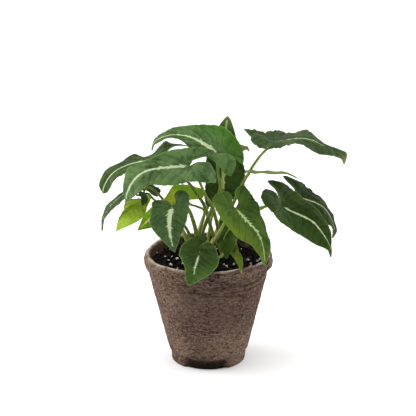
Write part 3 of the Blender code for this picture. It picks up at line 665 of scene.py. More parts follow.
# %% Vein count, stripe field and relief
VEINS_ALONG = 7.0
VEIN_SLANT = 0.7
VEIN_BEND = 0.9
UNEVEN_VEINS = 0.24
FAN_STEP = math.radians(24)
FAR_FROM_STRIPE = 9.0
QUILT = 0.6
GROOVE = 0.5
GROOVE_SHARE = 0.035
CRINKLE = 0.6


def vein_count(shares, seed):
    across = np.abs(shares[:, 0]) * HALF_WIDTH
    along = shares[:, 1] - VEIN_BEND * across**2
    start = along - VEIN_SLANT * across
    first = math.atan2(1, VEIN_SLANT)
    fan = -(np.arctan2(across, along) - first) / FAN_STEP
    sway = np.sin(11 * start + 1.7 * seed + np.sign(shares[:, 0])) * smooth_step(start, 0, 0.15)
    return np.where(start >= 0, start * VEINS_ALONG + UNEVEN_VEINS * sway, np.minimum(fan, 0))


def stripe_field(shares, length, stripe):
    """Millimetres from the stripe's edge: below zero inside it."""
    if stripe is None:
        return np.full(len(shares), FAR_FROM_STRIPE)
    begin, end, half = stripe
    along = shares[:, 1]
    body = smooth_step(along, begin - 0.02, begin + 0.08) * (1 - 0.75 * smooth_step(along, 0.1, end))
    past = np.maximum(along - end, 0) + np.maximum(begin - along, 0)
    return np.abs(shares[:, 0]) * HALF_WIDTH * length / MM - half * body + 1.2 * past * length / MM


def relief(shares, count, size, seed):
    """Height in metres: quilting between the veins, a groove along the midrib and a slow crinkle."""
    side, along = shares.T
    across = np.abs(side)
    ends = 1 - smooth_step(along, 0.75, 1)
    quilt = np.abs(np.sin(math.pi * count)) ** 0.7
    fade = smooth_step(across, 0.02, 0.18) * (1 - smooth_step(across, 0.75, 1.0)) * ends
    groove = np.exp(-(across / GROOVE_SHARE) ** 2) * ends
    slow = np.sin(9 * side + 7 * along + seed) * np.sin(13 * along - 5 * side + 2 * seed)
    swell = CRINKLE * slow * smooth_step(across, 0.05, 0.3)
    return size * (QUILT * quilt * fade - GROOVE * groove + swell) * MM


print("side veins on each half:", math.floor(VEINS_ALONG))

# %% [markdown]
# ## The grid and the margin of a blade
# Each half is a grid between midrib and margin, so the edge stays crisp with few faces. The sheet bends that
# grid. A real margin is never even: long waves, short ripples and small nicks are added, each stronger
# towards the edge.

# %% Blade grid and margin
MARGIN_WAVE = 1.0
WAVES_ALONG = 3.0
RIPPLE = 0.35
RIPPLES_ALONG = 8.5
NICK = 0.028
NICKS_ALONG = (15.3, 6.1)
GRID = (77, 15)
SMALL_GRID = (44, 10)


def blade_grid(rows, columns):
    """Flat places of both halves from tip to lobe, how far each is from the margin, and the faces."""
    along = np.linspace(0, 1, rows + 1)
    across = np.linspace(0, 1, columns + 1)[None, :, None]
    outer = through(OUTER_EDGE, along)[:, None]
    inner = through(INNER_EDGE, along)[:, None]
    inner[..., 0] = np.maximum(inner[..., 0], 0)
    half = (inner + (outer - inner) * across).reshape(-1, 2)
    width = np.linalg.norm((outer - inner) * (HALF_WIDTH, 1), axis=2)
    share = across[..., 0]
    margin = np.where(inner[..., 0] > 0, np.minimum(share, 1 - share), 1 - share) * width
    wide = columns + 1
    faces = []
    for first, turn in ((0, -1), (len(half), 1)):
        for row in range(rows):
            for a in range(first + row * wide, first + row * wide + columns):
                faces.append((a, a + 1, a + wide + 1, a + wide)[::turn])
    return np.vstack([half, half * (-1, 1)]), np.tile(margin.ravel(), 2), faces


def waved(sheet, shares, seed, ruffle):
    """Places on the sheet with the margin's long waves, short ripples and uneven outline."""
    side, along = shares.T
    edge = np.abs(side)
    turn = 2 * math.pi * WAVES_ALONG * along + np.where(side > 0, 2.0, 0.0)
    small = 2 * math.pi * RIPPLES_ALONG * along + seed * np.sign(side)
    ripple = ruffle * RIPPLE * edge**4 * np.sin(small) * np.sin(turn * 1.7 + seed)
    lift = MARGIN_WAVE * edge**2 * np.sin(turn) + ripple
    fine, coarse = NICKS_ALONG
    nick = np.sin(2 * math.pi * fine * along + seed) * np.sin(2 * math.pi * coarse * along + 2.3 * seed)
    uneven = shares * np.c_[1 + NICK * ruffle * edge**3 * nick, np.ones(len(shares))]
    return sheet.at(uneven) + sheet.normal(shares) * lift[:, None] * MM


print("grid points of a full blade:", len(blade_grid(*GRID)[0]))

# %% [markdown]
# ## Building one blade
# The mesh keeps, at each point, what its material has to know: the distance from the stripe, the vein count,
# the glow, which marks where light is painted in, and the distance from the margin. Solidify then gives it
# the thickness of a leaf, thicker at the midrib, and puts a second material on the underside.

# %% Blade mesh
SMALL_RELIEF = 0.6
SMALL_THICKNESS = 0.75
RIB_THICKNESS = 1.7
EDGE_THICKNESS = 0.55
RIB_FADE = 1.6
WELD = 0.002 * MM


def make_blade(name, look, seed):
    """One layer of faces in the shape of the leaf, with the numbers that its finish reads."""
    small = name in SMALL_LEAVES
    sheet = sheets[name]
    shares, margin, faces = blade_grid(*(SMALL_GRID if small else GRID))
    side, along = shares.T
    midrib = sheet.at([(0, share) for share in np.linspace(0, 1, 30)])
    length = np.linalg.norm(np.diff(midrib, axis=0), axis=1).sum()
    count = vein_count(shares, seed)
    lifted = relief(shares, count, SMALL_RELIEF if small else 1.0, seed)
    places = waved(sheet, shares, seed, look["ruffle"]) + sheet.normal(shares) * lifted[:, None]
    mesh = bpy.data.meshes.new(name)
    mesh.from_pydata(places.tolist(), [], faces)
    start, to_right, to_tip, to_margin = look["pull"]
    # Where the painted light of the glow colour sits on the blade.
    glow = start + to_right * side + to_tip * along + to_margin * np.abs(side)
    stripe = stripe_field(shares, length, look["stripe"])
    keep_at_points(mesh, "leaf_marks", np.c_[stripe, np.abs(side), count])
    keep_at_points(mesh, "leaf_spot", np.c_[side * HALF_WIDTH * length / MM, along, np.clip(glow, 0, 1)])
    keep_at_points(mesh, "leaf_margin", margin * length / MM)
    work = bmesh.new()
    work.from_mesh(mesh)
    bmesh.ops.remove_doubles(work, verts=work.verts, dist=WELD)
    bmesh.ops.dissolve_degenerate(work, edges=work.edges, dist=WELD)
    work.to_mesh(mesh)
    work.free()
    return bpy.data.objects.new(name, mesh)


# %% Thickness of a blade
def thicken(blade, thickness):
    """Give the blade its thickness, keep the shape that this gives, and drop the modifier."""
    group = blade.vertex_groups.new(name="rib")
    marks = blade.data.attributes["leaf_marks"].data
    for corner, mark in zip(blade.data.vertices, marks):
        group.add([corner.index], max(0.0, 1 - mark.vector[1] * RIB_FADE), "REPLACE")
    shell = blade.modifiers.new("Thickness", "SOLIDIFY")
    shell.thickness = thickness * MM
    shell.offset = -1
    shell.use_even_offset = False
    shell.vertex_group = "rib"
    shell.thickness_vertex_group = EDGE_THICKNESS / RIB_THICKNESS
    shell.material_offset = 1
    shell.material_offset_rim = 0
    bpy.context.view_layer.update()
    solid = bpy.data.meshes.new_from_object(blade.evaluated_get(bpy.context.evaluated_depsgraph_get()))
    blade.modifiers.clear()
    blade.data = solid
    solid.shade_smooth()


print("thickness in mm at the midrib and at the margin:", RIB_THICKNESS, EDGE_THICKNESS)

# %% [markdown]
# ## The finish of a blade
# A real blade is a satin skin over green tissue. Its colour drifts from deep to light at random. Light is
# painted into it as well: it is painted brighter in the glow colour where light shines through, painted a
# little lighter on the bulges between the veins, and darker along the veins, which is partly the veins' own
# colour and partly painted shade in their grooves. A pale line along the margin is partly the margin's own
# paler tissue and partly a painted highlight of the edge. The cream stripe isn't painted with a clean edge:
# it frays along the veins. Each half step of the vein count draws the length of one spur, calmer towards the
# tip, and noise stretched along the veins roughens its edge.

# %% Marks, veins and stripe
def leaf_marks(tree):
    return stored(tree, "leaf_marks"), stored(tree, "leaf_spot")


def vein_lines(tree, count, outwards, width=0.09):
    """One on a side vein, fading out at the margin."""
    line = soft_step(tree, maths(tree, "PINGPONG", count, 0.5), width, 0.0)
    return times(tree, line, soft_step(tree, outwards, 0.97, 0.6))


def stripe_masks(tree, place, marks, spot, spur, seed):
    """The cream stripe and the paler green round it, both feathered along the side veins."""
    half_count = times(tree, marks[2], 2.0)
    number = maths(tree, "FLOOR", plus(tree, half_count, 0.5 + 7.0 * seed))
    lot = node(tree, "TexWhiteNoise", {"W": number}, noise_dimensions="1D")
    tooth = soft_step(tree, maths(tree, "PINGPONG", half_count, 0.5), 0.30, 0.0)
    reach = times(tree, tooth, soft_step(tree, lot, 0.15, 1.0, 0.1, spur))
    reach = times(tree, reach, soft_step(tree, spot[1], 0.42, 0.78, 1.0, 0.25))
    way = node(tree, "CombineXYZ", (times(tree, marks[2], 7.0), times(tree, spot[0], 0.25), seed * 3.7))
    streak = minus(tree, grain(tree, way, 1.0, 3.0, 0.7), 0.5)
    body = plus(tree, marks[0], times(tree, streak, 2.4))
    fine = times(tree, minus(tree, grain(tree, place, 1100.0), 0.5), 0.7)
    edge = plus(tree, minus(tree, body, reach), fine)
    return soft_step(tree, edge, 0.22, -0.30), soft_step(tree, edge, 1.0, -0.2, 0.0, 0.55)


# %% Top of a blade
# The margin's pale line: partly its own paler tissue, partly a painted highlight of the edge.
PALE_AND_LIT_MARGIN = (128, 158, 84)
CREAM_GREEN = (196, 214, 158)


def leaf_finish(name, look, seed):
    top, tree, shader, place = new_material(name + "_top")
    deep, light = look["deep"], look["light"]
    marks, spot = leaf_marks(tree)
    drift = grain(tree, place, 42.0, 3.0)
    mottle = grain(tree, place, 260.0, 4.0, 0.6)
    mixed = plus(tree, times(tree, drift, 0.65), times(tree, mottle, 0.35))
    colour = blend(tree, soft_step(tree, mixed, 0.39, 0.61), deep, light)
    # Painted light: the bulges between the veins are painted a little lighter.
    lit_bulge = soft_step(tree, maths(tree, "PINGPONG", marks[2], 0.5), 0.08, 0.42)
    colour = blend(tree, times(tree, lit_bulge, 0.24), colour, light)
    # Painted light: the glow colour where light shines through the blade, placed by the stored pull.
    glow = times(tree, spot[2], soft_step(tree, drift, 0.25, 0.6, 0.65, 1.0))
    colour = blend(tree, glow, colour, look["glow"])
    # Vein lines: partly the veins' own colour, partly painted shade in their grooves.
    vein = vein_lines(tree, marks[2], marks[1])
    fine_vein = vein_lines(tree, times(tree, marks[2], 3.0), marks[1], 0.2)
    vein_and_groove_shade = [look["vein"] * channel for channel in deep]
    colour = blend(tree, times(tree, vein, 0.34), colour, vein_and_groove_shade)
    colour = blend(tree, times(tree, fine_vein, 0.08), colour, vein_and_groove_shade)
    # A pale line along the margin: partly the margin's own paler tissue, partly a painted highlight where
    # the edge catches light.
    margin = soft_step(tree, stored_number(tree, "leaf_margin"), 0.75, 0.25, 0.0, 0.7)
    colour = blend(tree, margin, colour, between(light, PALE_AND_LIT_MARGIN, 0.55))
    if look["stripe"]:
        cream, green = stripe_masks(tree, place, marks, spot, look["spur"], seed)
        colour = blend(tree, green, colour, between(light, CREAM_GREEN, 0.5))
        colour = blend(tree, cream, colour, look["cream"])
    skin = plus(tree, grain(tree, place, 1300.0, 2.0), times(tree, vein, -1.6))
    skin = minus(tree, skin, times(tree, fine_vein, 0.5))
    dress(tree, shader, colour, soft_step(tree, mottle, 0.2, 0.8, 0.42, 0.56), 0.06, skin, 0.7, 0.2 * MM)
    return top, underside_finish(name, look)


# %% Underside of a blade
UNDERSIDE_GREY = (140, 152, 120)
UNDERSIDE_VEIN = (132, 152, 90)


def underside_finish(name, look):
    """Duller and paler than the top, with raised veins."""
    under, tree, shader, place = new_material(name + "_underside")
    marks, spot = leaf_marks(tree)
    light = look["light"]
    colour = blend(tree, grain(tree, place, 160.0), light, between(light, UNDERSIDE_GREY, 0.2))
    veins = vein_lines(tree, marks[2], marks[1], 0.12)
    rib = soft_step(tree, maths(tree, "ABSOLUTE", spot[0]), 1.3, 0.5)
    colour = blend(tree, maths(tree, "MAXIMUM", times(tree, veins, 0.5), rib), colour, UNDERSIDE_VEIN)
    dress(tree, shader, colour, 0.6, 0.2, veins, 0.5, 0.2 * MM)
    return under


# %% Make the leaves
for number, (name, look) in enumerate(LOOKS.items()):
    seed = number + 1.0
    blade = make_blade(name, look, seed)
    settle(blade, name, leaf_finish(name, look, seed))
    thicken(blade, RIB_THICKNESS * SMALL_THICKNESS if name in SMALL_LEAVES else RIB_THICKNESS)
print("blades:", len(LOOKS), "faces of the last one:", len(blade.data.polygons))

# %% [markdown]
# ## Petioles
# Each blade stands on a round, slightly channelled stalk that rises from the soil, bows outwards and meets
# the blade from below. A curve with a bevel would give a round tube, but a tube made ring by ring can change
# its radius on the way up and keep its channel.

# %% Path of a petiole
KNOB_BOTTOM = 94 * MM
KNOB_TOP = 107 * MM
OUT_AT_FOOT = (2.2, 3.4)
UP_AT_FOOT = (4 * MM, KNOB_TOP - KNOB_BOTTOM + 3 * MM)
UNDER_BLADE = [(4.5, -0.3), (1.6, 0.15), (0.9, 1.3)]
RADIUS_PLACES = (0, 0.12, 0.7, 0.93, 1)
TIP_RADIUS = 0.3
TUBE_STEPS_PER_POINT = 7


def petiole_path(name):
    """The line of a petiole, from inside its clump to the midrib's underside, and its radius on the way."""
    clump, low, high, way = PETIOLES[name]
    sheet = sheets[name]
    joint = sheet.at((0, 0.02))[0]
    below = -sheet.normal((0, 0.02))[0]
    along = sheet.at((0, 0.06))[0] - sheet.at((0, 0))[0]
    climb = [seen(*point) for point in way]
    centre = np.array([*CLUMP_PLACES[clump], KNOB_BOTTOM])
    lean = climb[0] - centre
    lean[2] = 0
    lean /= np.linalg.norm(lean)
    foot = [centre + lean * out * MM + (0, 0, up) for out, up in zip(OUT_AT_FOOT, UP_AT_FOOT)]
    head = [joint + below * gap * MM + along * slide for gap, slide in UNDER_BLADE]
    head[0] += (climb[-1] - joint) * 0.12
    points = [*foot, *climb, *head]
    share = np.linspace(0, 1, TUBE_STEPS_PER_POINT * (len(points) - 1) + 1)
    radius = np.interp(share, RADIUS_PLACES, (low * 1.12, low, high, high, TIP_RADIUS))
    return through(points, share), radius * MM


print("points along the crown's petiole:", len(petiole_path("leaf_crown")[0]))

# %% Petiole tubes
TUBE_SIDES = 14
CHANNEL_DEPTH = 0.16
CHANNEL_WIDTH = 0.6


def sweep(line, radius):
    """Rings along a line, turned as little as possible from one to the next."""
    way = np.gradient(line, axis=0)
    way /= np.linalg.norm(way, axis=1, keepdims=True)
    side = np.cross(way[0], (0, 1, 0))
    turn = np.arange(TUBE_SIDES) * 2 * math.pi / TUBE_SIDES
    channel = 1 - CHANNEL_DEPTH * np.exp(-((turn - math.pi) / CHANNEL_WIDTH) ** 2)
    rings = []
    for centre, ahead, size in zip(line, way, radius):
        side = side - ahead * (side @ ahead)
        side /= np.linalg.norm(side)
        other = np.cross(ahead, side)
        circle = np.cos(turn)[:, None] * side + np.sin(turn)[:, None] * other
        rings.append(centre + size * channel[:, None] * circle)
    return np.array(rings)


def ring_faces(first, rings, sides):
    """Four-cornered faces between closed rings of points, one ring after the other."""
    faces = []
    for start in range(first, first + (rings - 1) * sides, sides):
        for k in range(sides):
            a, b = start + k, start + (k + 1) % sides
            faces.append((a, b, b + sides, a + sides))
    return faces


def tube_faces(first, rings):
    last = first + (rings - 1) * TUBE_SIDES
    bottom = tuple(range(first, first + TUBE_SIDES))[::-1]
    top = tuple(range(last, last + TUBE_SIDES))
    return [*ring_faces(first, rings, TUBE_SIDES), bottom, top]


# %% [markdown]
# The skin of a petiole is green with fine streaks along it, and pales towards the soil. Noise stretched
# along the height gives such streaks on every stalk at once, because all of them rise steeply.

# %% Petiole finish and pieces
def petiole_finish():
    """Green with fine streaks along the stalk, yellower patches and a paler foot."""
    material, tree, shader, place = new_material("petiole_skin")
    streak = grain(tree, upright(tree, place, 0.07), 700.0, 3.0)
    patch = grain(tree, place, 60.0, 2.0)
    foot = soft_step(tree, split(tree, place)[2], 0.170, 0.120)
    colour = blend(tree, soft_step(tree, streak, 0.3, 0.7), (74, 96, 30), (134, 152, 64))
    colour = blend(tree, soft_step(tree, patch, 0.55, 0.75, 0.0, 0.6), colour, (138, 144, 56))
    colour = blend(tree, times(tree, foot, 0.7), colour, (152, 160, 78))
    dress(tree, shader, colour, 0.5, 0.2, streak, 0.5, 0.15 * MM)
    return material


petiole_skin = petiole_finish()
for clump in CLUMP_PLACES:
    places, faces = [], []
    for leaf in PETIOLES:
        if PETIOLES[leaf][0] == clump:
            rings = sweep(*petiole_path(leaf))
            faces += tube_faces(sum(map(len, places)), len(rings))
            places.append(rings.reshape(-1, 3))
    mesh = bpy.data.meshes.new("stems_" + clump)
    mesh.from_pydata(np.vstack(places).tolist(), [], faces)
    mesh.shade_smooth()
    settle(bpy.data.objects.new("stems_" + clump, mesh), "stems_" + clump, [petiole_skin])
    print("petioles of the", clump, "clump:", len(places))

# %% [markdown]
# ## The pot
# Pressed fibre is turned in shape but never smooth: its rim is rolled and wavy, wrinkles run round it where
# the wet pulp slid in the mould, and the whole skin is lumpy. A turned profile with many rings is the base,
# and layers of noise move its points, long flat ones for the wrinkles and small ones for the pulp. Rings
# that nobody sees, inside and under the foot, are wide apart.

# %% Pot profile
POT_PROFILE = [
    (0, 5), (20, 5), (33.1, 5), (35.2, 10), (37.1, 16), (45.8, 52), (56.3, 95.5), (57.2, 103),
    (57.9, 109), (59.3, 113.1), (61.8, 114.5), (64.1, 112.7), (65.0, 108.5), (64.6, 104),
    (62.8, 99.6), (60.8, 96), (51.2, 56), (41.4, 16), (40.0, 12.6), (38.5, 9), (38.1, 3.5),
    (37.4, 1), (36.2, 0), (18, 0), (0, 0),
]
POT_SIDES = 400
RING_GAP = 0.8
HIDDEN_GAP = 4.0
SHOWN_INSIDE = 92.0
FOOT_EDGE = 0.4


def fine_profile(points):
    """The profile along a smooth line, at small steps where it shows and at large ones elsewhere."""
    line = through(points, np.linspace(0, 1, 1200))
    way = np.concatenate([[0], np.cumsum(np.linalg.norm(np.diff(line, axis=0), axis=1))])
    shown = way[np.nonzero(line[:, 1] > SHOWN_INSIDE)[0][0]]
    foot = way[np.nonzero(line[:, 1] > FOOT_EDGE)[0][-1]]
    parts = [(0, shown, HIDDEN_GAP), (shown, foot, RING_GAP), (foot, way[-1], HIDDEN_GAP)]
    steps = np.concatenate([np.arange(*part) for part in parts] + [way[-1:]])
    return np.c_[np.interp(steps, way, line[:, 0]), np.interp(steps, way, line[:, 1])]


profile = fine_profile(POT_PROFILE)
rim_row = int(np.argmax(profile[:, 1]))
print("rings of the pot:", len(profile), "and the rim is ring", rim_row)

# %% [markdown]
# Where the skin is pressed in or drawn up follows the real pot: the upper right of the wall is the most
# wrinkled, one short seam crosses the front, a burr stands on the rim, and a shallow hollow is pressed into
# the foot. All of these are added to the noise as smooth bumps. The noise reads places in metres, so the
# heights and places of the wrinkles, the rim and the seam are in metres too, and all the rest is in mm.

# %% Pot skin
WRINKLES_ABOVE = (0.074, 0.090)
WRINKLES_RIGHT_OF = (-0.020, 0.006)
CREASE_WIDTH = 0.12
SEAM_PLACE = (0.002, 0.0465)
SEAM_SIZE = (0.024, 0.0009)
LUMP_HEIGHTS = {"round_off": 0.5, "lumps": 0.46, "crease": 1.0}
RIM_FROM = (0.085, 0.108)
RIM_WAVES = [(1.1, 26, 3.0), (0.8, 110, 9.0)]
BURR = (41.8, -46.0)
BURR_HEIGHT = 2.4
BURR_RADIUS = 1.5
DENT_WIDTH = 45.0
DENT_HEIGHT = 10.5
DENT_SHIFT = -2.0


def at_scale(point, across, up, shift=0.0):
    """A place in the noise; a larger number makes a finer pattern that way."""
    x, y, z = point
    return Vector((x * across, y * across, z * up + shift))


def pulp(point):
    """How far the pulp stands out, how much the rim rises and how deep the creases are, in mm."""
    x, y, z = point
    wrinkle = noise.fractal(at_scale(point, 14, 120), 0.9, 2.0, 3)
    lumps = noise.fractal(at_scale(point, 190, 230), 0.8, 2.1, 3)
    round_off = noise.noise(at_scale(point, 16, 9))
    high = float(smooth_step(z, *WRINKLES_ABOVE) * smooth_step(x + 0.3 * abs(y), *WRINKLES_RIGHT_OF))
    fold = noise.fractal(at_scale(point, 24, 190, 7), 0.8, 2.0, 2)
    crease = (0.12 + 0.88 * high) * math.exp(-(fold / CREASE_WIDTH) ** 2)
    across, up = ((value - middle) / size for value, middle, size in zip((x, z), SEAM_PLACE, SEAM_SIZE))
    seam = math.exp(-up**2) * max(0.0, 1 - abs(across)) * float(y < 0)
    crease = min(1.0, crease + seam)
    out = LUMP_HEIGHTS["round_off"] * round_off + (0.25 + 0.6 * high) * wrinkle
    out += LUMP_HEIGHTS["lumps"] * lumps - LUMP_HEIGHTS["crease"] * crease
    rim = float(smooth_step(z, *RIM_FROM))
    rise = sum(size * noise.noise(at_scale(point, scale, 0, shift)) for size, scale, shift in RIM_WAVES)
    burr = math.dist((x, y), (BURR[0] * MM, BURR[1] * MM)) / MM / BURR_RADIUS
    return out, rim * (rise + BURR_HEIGHT * math.exp(-burr**2)), crease


def dent(x, y, z, soft=0.0):
    """How deep the hollow at the foot is at a place in mm, front and back, as a share of its depth."""
    wide = smooth_step(DENT_WIDTH / 2 - abs(x - DENT_SHIFT), -0.5 - soft, 3.0 + soft)
    return float(wide * smooth_step(DENT_HEIGHT - z, -1.8 - 1.5 * soft, 0.8 + 1.5 * soft) * (abs(y) > 20))


print("the skin at the front of the rim, in mm:", [round(value, 2) for value in pulp((0, -0.064, 0.108))])

# %% Turn the pot
DENT_DEPTH = 2.4
DENT_SHADE_SOFTNESS = 1.8
PLAIN_RADIUS = 10
LIP_ROWS = 2.7


def on_circle(radius, angle):
    return radius * math.cos(angle), radius * math.sin(angle)


def make_pot():
    """Turn the profile, move its points by the pulp, and keep what the finish reads."""
    places, marks, lip = [], [], []
    for row, (radius, height) in enumerate(profile):
        outside = row > rim_row
        under = float(smooth_step(height, 0.0, 2.5))
        # Rows inside the rim, whose wall is painted dark as shade.
        inside = float(smooth_step(rim_row - row, 0, 3))
        for k in range(POT_SIDES):
            x, y = on_circle(radius, 2 * math.pi * k / POT_SIDES)
            point = (x * MM, y * MM, height * MM)
            out, rise, crease = pulp(point) if radius > PLAIN_RADIUS else (0, 0, 0)
            hollow = dent(x, y, height) if outside else 0.0
            # A softer, wider copy of the hollow, where its shadow is painted dark.
            dent_shade = dent(x, y, height, DENT_SHADE_SOFTNESS) if outside else 0.0
            size = 1 + (under * out - DENT_DEPTH * hollow) / max(radius, 1)
            places.append((point[0] * size, point[1] * size, point[2] + rise * MM))
            marks.append((crease * outside, dent_shade, inside))
            lip.append(math.exp(-((row - rim_row) / LIP_ROWS) ** 2))
    mesh = bpy.data.meshes.new("pot")
    mesh.from_pydata(places, [], ring_faces(0, len(profile), POT_SIDES))
    keep_at_points(mesh, "pot_marks", marks)
    keep_at_points(mesh, "pot_lip", lip)
    work = bmesh.new()
    work.from_mesh(mesh)
    bmesh.ops.remove_doubles(work, verts=work.verts, dist=0.01 * MM)
    bmesh.ops.recalc_face_normals(work, faces=work.faces)
    work.to_mesh(mesh)
    work.free()
    mesh.shade_smooth()
    return bpy.data.objects.new("pot", mesh)


# %% [markdown]
# The colour follows what the shape has recorded, and much of it is painted shade: the creases are painted
# darker, the hollow at the foot is painted dark with its shadow, and the inner wall is painted dark with the
# shade inside the rim. The lip is pale, partly dried pulp and partly a painted highlight where the rim
# catches light. Painted shade also darkens the middle band of the wall in patches, most of all at the front.
# The rest is fine contrast: pale fibres over brown pulp and nearly black flecks.

# %% Pot finish
PULP_BROWN = (80, 61, 51)
DRY_BROWN = (111, 91, 78)
DARK_BROWN = (34, 24, 19)
# The lip's pale colour: partly dried pulp, partly a painted highlight of the rim.
DRY_AND_LIT_LIP = (194, 178, 163)


def pot_finish():
    """Brown pulp with dark flecks and pale fibres, painted shade in the creases, the foot's hollow, the
    inner wall and the middle of the wall, and a pale rim that is partly dried and partly a painted
    highlight.
    """
    material, tree, shader, place = new_material("pressed_fibre")
    crease, dent_shade, inside = stored(tree, "pot_marks")
    sideways, _, height = split(tree, place)
    cloud = grain(tree, place, 24.0, 3.0)
    felt = grain(tree, upright(tree, place, 1.9), 400.0, 5.0, 0.7)
    stroke = grain(tree, upright(tree, place, 2.4), 210.0, 3.0, 0.7)
    fibre = grain(tree, upright(tree, place, 4.5), 420.0, 2.0)
    colour = blend(tree, soft_step(tree, cloud, 0.3, 0.7), PULP_BROWN, DRY_BROWN)
    for pattern, low, high, cover, tint in (
        (felt, 0.50, 0.68, 0.85, (142, 121, 107)),
        (felt, 0.48, 0.34, 0.90, DARK_BROWN),
        (stroke, 0.52, 0.66, 0.62, (44, 29, 22)),
        (stroke, 0.46, 0.32, 0.45, (152, 130, 115)),
    ):
        colour = blend(tree, soft_step(tree, pattern, low, high, 0.0, cover), colour, tint)
    fleck = node(tree, "TexVoronoi", {0: upright(tree, place, 1.4), "Scale": 230.0}, feature="F1")
    fleck_here = soft_step(tree, grain(tree, place, 130.0), 0.50, 0.56)
    fleck = times(tree, soft_step(tree, fleck, 0.34, 0.18), fleck_here)
    colour = blend(tree, fleck, colour, (18, 12, 9))
    colour = blend(tree, soft_step(tree, fibre, 0.62, 0.72, 0.0, 0.6), colour, (160, 139, 125))
    # Painted shade: the middle band of the wall is darkened in patches, most of all at its front centre.
    front_middle_shade = times(tree, soft_step(tree, height, 0.030, 0.062), soft_step(tree, height, 0.112, 0.098))
    front_middle_shade = times(tree, front_middle_shade, soft_step(tree, cloud, 0.25, 0.6, 0.1, 0.42))
    aside = maths(tree, "ABSOLUTE", minus(tree, sideways, 0.008))
    front_middle_shade = times(tree, front_middle_shade, soft_step(tree, aside, 0.050, 0.026, 0.2, 1.0))
    colour = blend(tree, front_middle_shade, colour, (48, 32, 25))
    # Pale lip: partly dried, worn pulp and partly a painted highlight where the rim catches light.
    worn_and_lit = soft_step(tree, grain(tree, place, 90.0, 3.0), 0.34, 0.52, 0.2, 1.0)
    colour = blend(tree, times(tree, stored_number(tree, "pot_lip"), worn_and_lit), colour, DRY_AND_LIT_LIP)
    # Painted shade on the inner wall, inside the rim.
    colour = blend(tree, times(tree, inside, 0.5), colour, DARK_BROWN)
    # Painted shadow in the hollow at the foot, strongest towards the bottom.
    low = times(tree, dent_shade, soft_step(tree, height, 0.012, 0.002, 0.85, 1.0))
    # Painted shade in the creases, joined with the painted shadow of the hollow at the foot.
    shade_in_creases_and_dent = maths(tree, "MAXIMUM", times(tree, crease, 0.55), times(tree, low, 0.95))
    colour = blend(tree, shade_in_creases_and_dent, colour, (20, 13, 10))
    coat = plus(tree, felt, times(tree, fleck, -0.9))
    coat = minus(tree, coat, times(tree, stroke, 0.8))
    dress(tree, shader, colour, 0.95, 0.1, coat, 1.0, 0.9 * MM)
    return material


# %% Make the pot
pot = make_pot()
settle(pot, "pot", [pot_finish()])
print("triangles of the pot:", sum(len(face.vertices) - 2 for face in pot.data.polygons))

# %% [markdown]
# ## The soil
# Peat soil is nearly black and breaks into crumbs of every size. One bumpy sheet fills the pot up to its
# wall, and is heaped up a little round each clump. It is a closed body with a flat underside.

# %% Soil bed
SOIL_RADIUS = 56.6
SOIL_FOOT_RADIUS = 55
SOIL_LEVEL = 103.6
SOIL_DEPTH = 9.0
HEAP = 1.8
HEAP_SPREAD = 60
BED_RINGS = 60
BED_SIDES = 200


def bed_height(x, y):
    """Height of the soil in mm at a place in mm."""
    lumps = noise.fractal(Vector((x * 0.10, y * 0.10, 1.0)), 0.8, 2.0, 4)
    crumbs = noise.fractal(Vector((x * 0.45, y * 0.45, 5.0)), 0.7, 2.1, 3)
    heap = sum(math.exp(-((x - clump_x / MM) ** 2 + (y - clump_y / MM) ** 2) / HEAP_SPREAD)
               for clump_x, clump_y in CLUMP_PLACES.values())
    return SOIL_LEVEL + 1.3 * lumps + 0.9 * crumbs + HEAP * heap


def make_soil():
    angles = [2 * math.pi * k / BED_SIDES for k in range(BED_SIDES)]
    places = [(0, 0, bed_height(0, 0) * MM)]
    for ring in range(1, BED_RINGS + 1):
        for angle in angles:
            x, y = on_circle(SOIL_RADIUS * ring / BED_RINGS, angle)
            places.append((x * MM, y * MM, bed_height(x, y) * MM))
    for angle in angles:
        x, y = on_circle(SOIL_FOOT_RADIUS, angle)
        places.append((x * MM, y * MM, (SOIL_LEVEL - SOIL_DEPTH) * MM))
    faces = [(0, 1 + k, 1 + (k + 1) % BED_SIDES) for k in range(BED_SIDES)]
    faces += [(a, d, c, b) for a, b, c, d in ring_faces(1, BED_RINGS + 1, BED_SIDES)]
    last = 1 + BED_RINGS * BED_SIDES
    faces.append(tuple(range(last, last + BED_SIDES))[::-1])
    mesh = bpy.data.meshes.new("soil")
    mesh.from_pydata(places, [], faces)
    mesh.shade_smooth()
    return bpy.data.objects.new("soil", mesh)


# %% Soil finish
def soil_finish():
    material, tree, shader, place = new_material("potting_soil")
    crumb = grain(tree, place, 350.0, 5.0, 0.7)
    colour = blend(tree, soft_step(tree, crumb, 0.48, 0.8), (6, 6, 5), (84, 72, 62))
    dress(tree, shader, colour, 0.95, 0.1, crumb, 1.0, 0.8 * MM)
    return material


black_soil = soil_finish()
settle(make_soil(), "soil", [black_soil])
print("height of the soil in the middle, in mm:", round(bed_height(0, 0), 1))

# %% [markdown]
# Several hundred loose crumbs lie on the bed. A crumb is a small ball pushed out of shape by noise, and all
# of them go into one mesh, which stays light because each has few faces. White grains of perlite are what
# makes this read as potting soil. They are made the same way, rounder and with finer faces. The ones that
# the camera sees are listed one by one, and the rest are placed by lot.

# %% Lumps in one mesh
def lump_mesh(title, spots, detail, rough):
    """Many small uneven balls in one mesh; a spot is a place and a radius in mm."""
    work = bmesh.new()
    for number, (*middle, size) in enumerate(spots):
        ball = bmesh.ops.create_icosphere(work, subdivisions=detail, radius=1.0)
        squash = 0.65 + 0.35 * dice.random(3)
        for corner in ball["verts"]:
            push = 1 + rough * noise.noise(corner.co * 1.3 + Vector((number * 3.1, 0, 0)))
            parts = zip(middle, corner.co, squash)
            corner.co = [(start + value * size * short * push) * MM for start, value, short in parts]
    mesh = bpy.data.meshes.new(title)
    work.to_mesh(mesh)
    work.free()
    return bpy.data.objects.new(title, mesh)


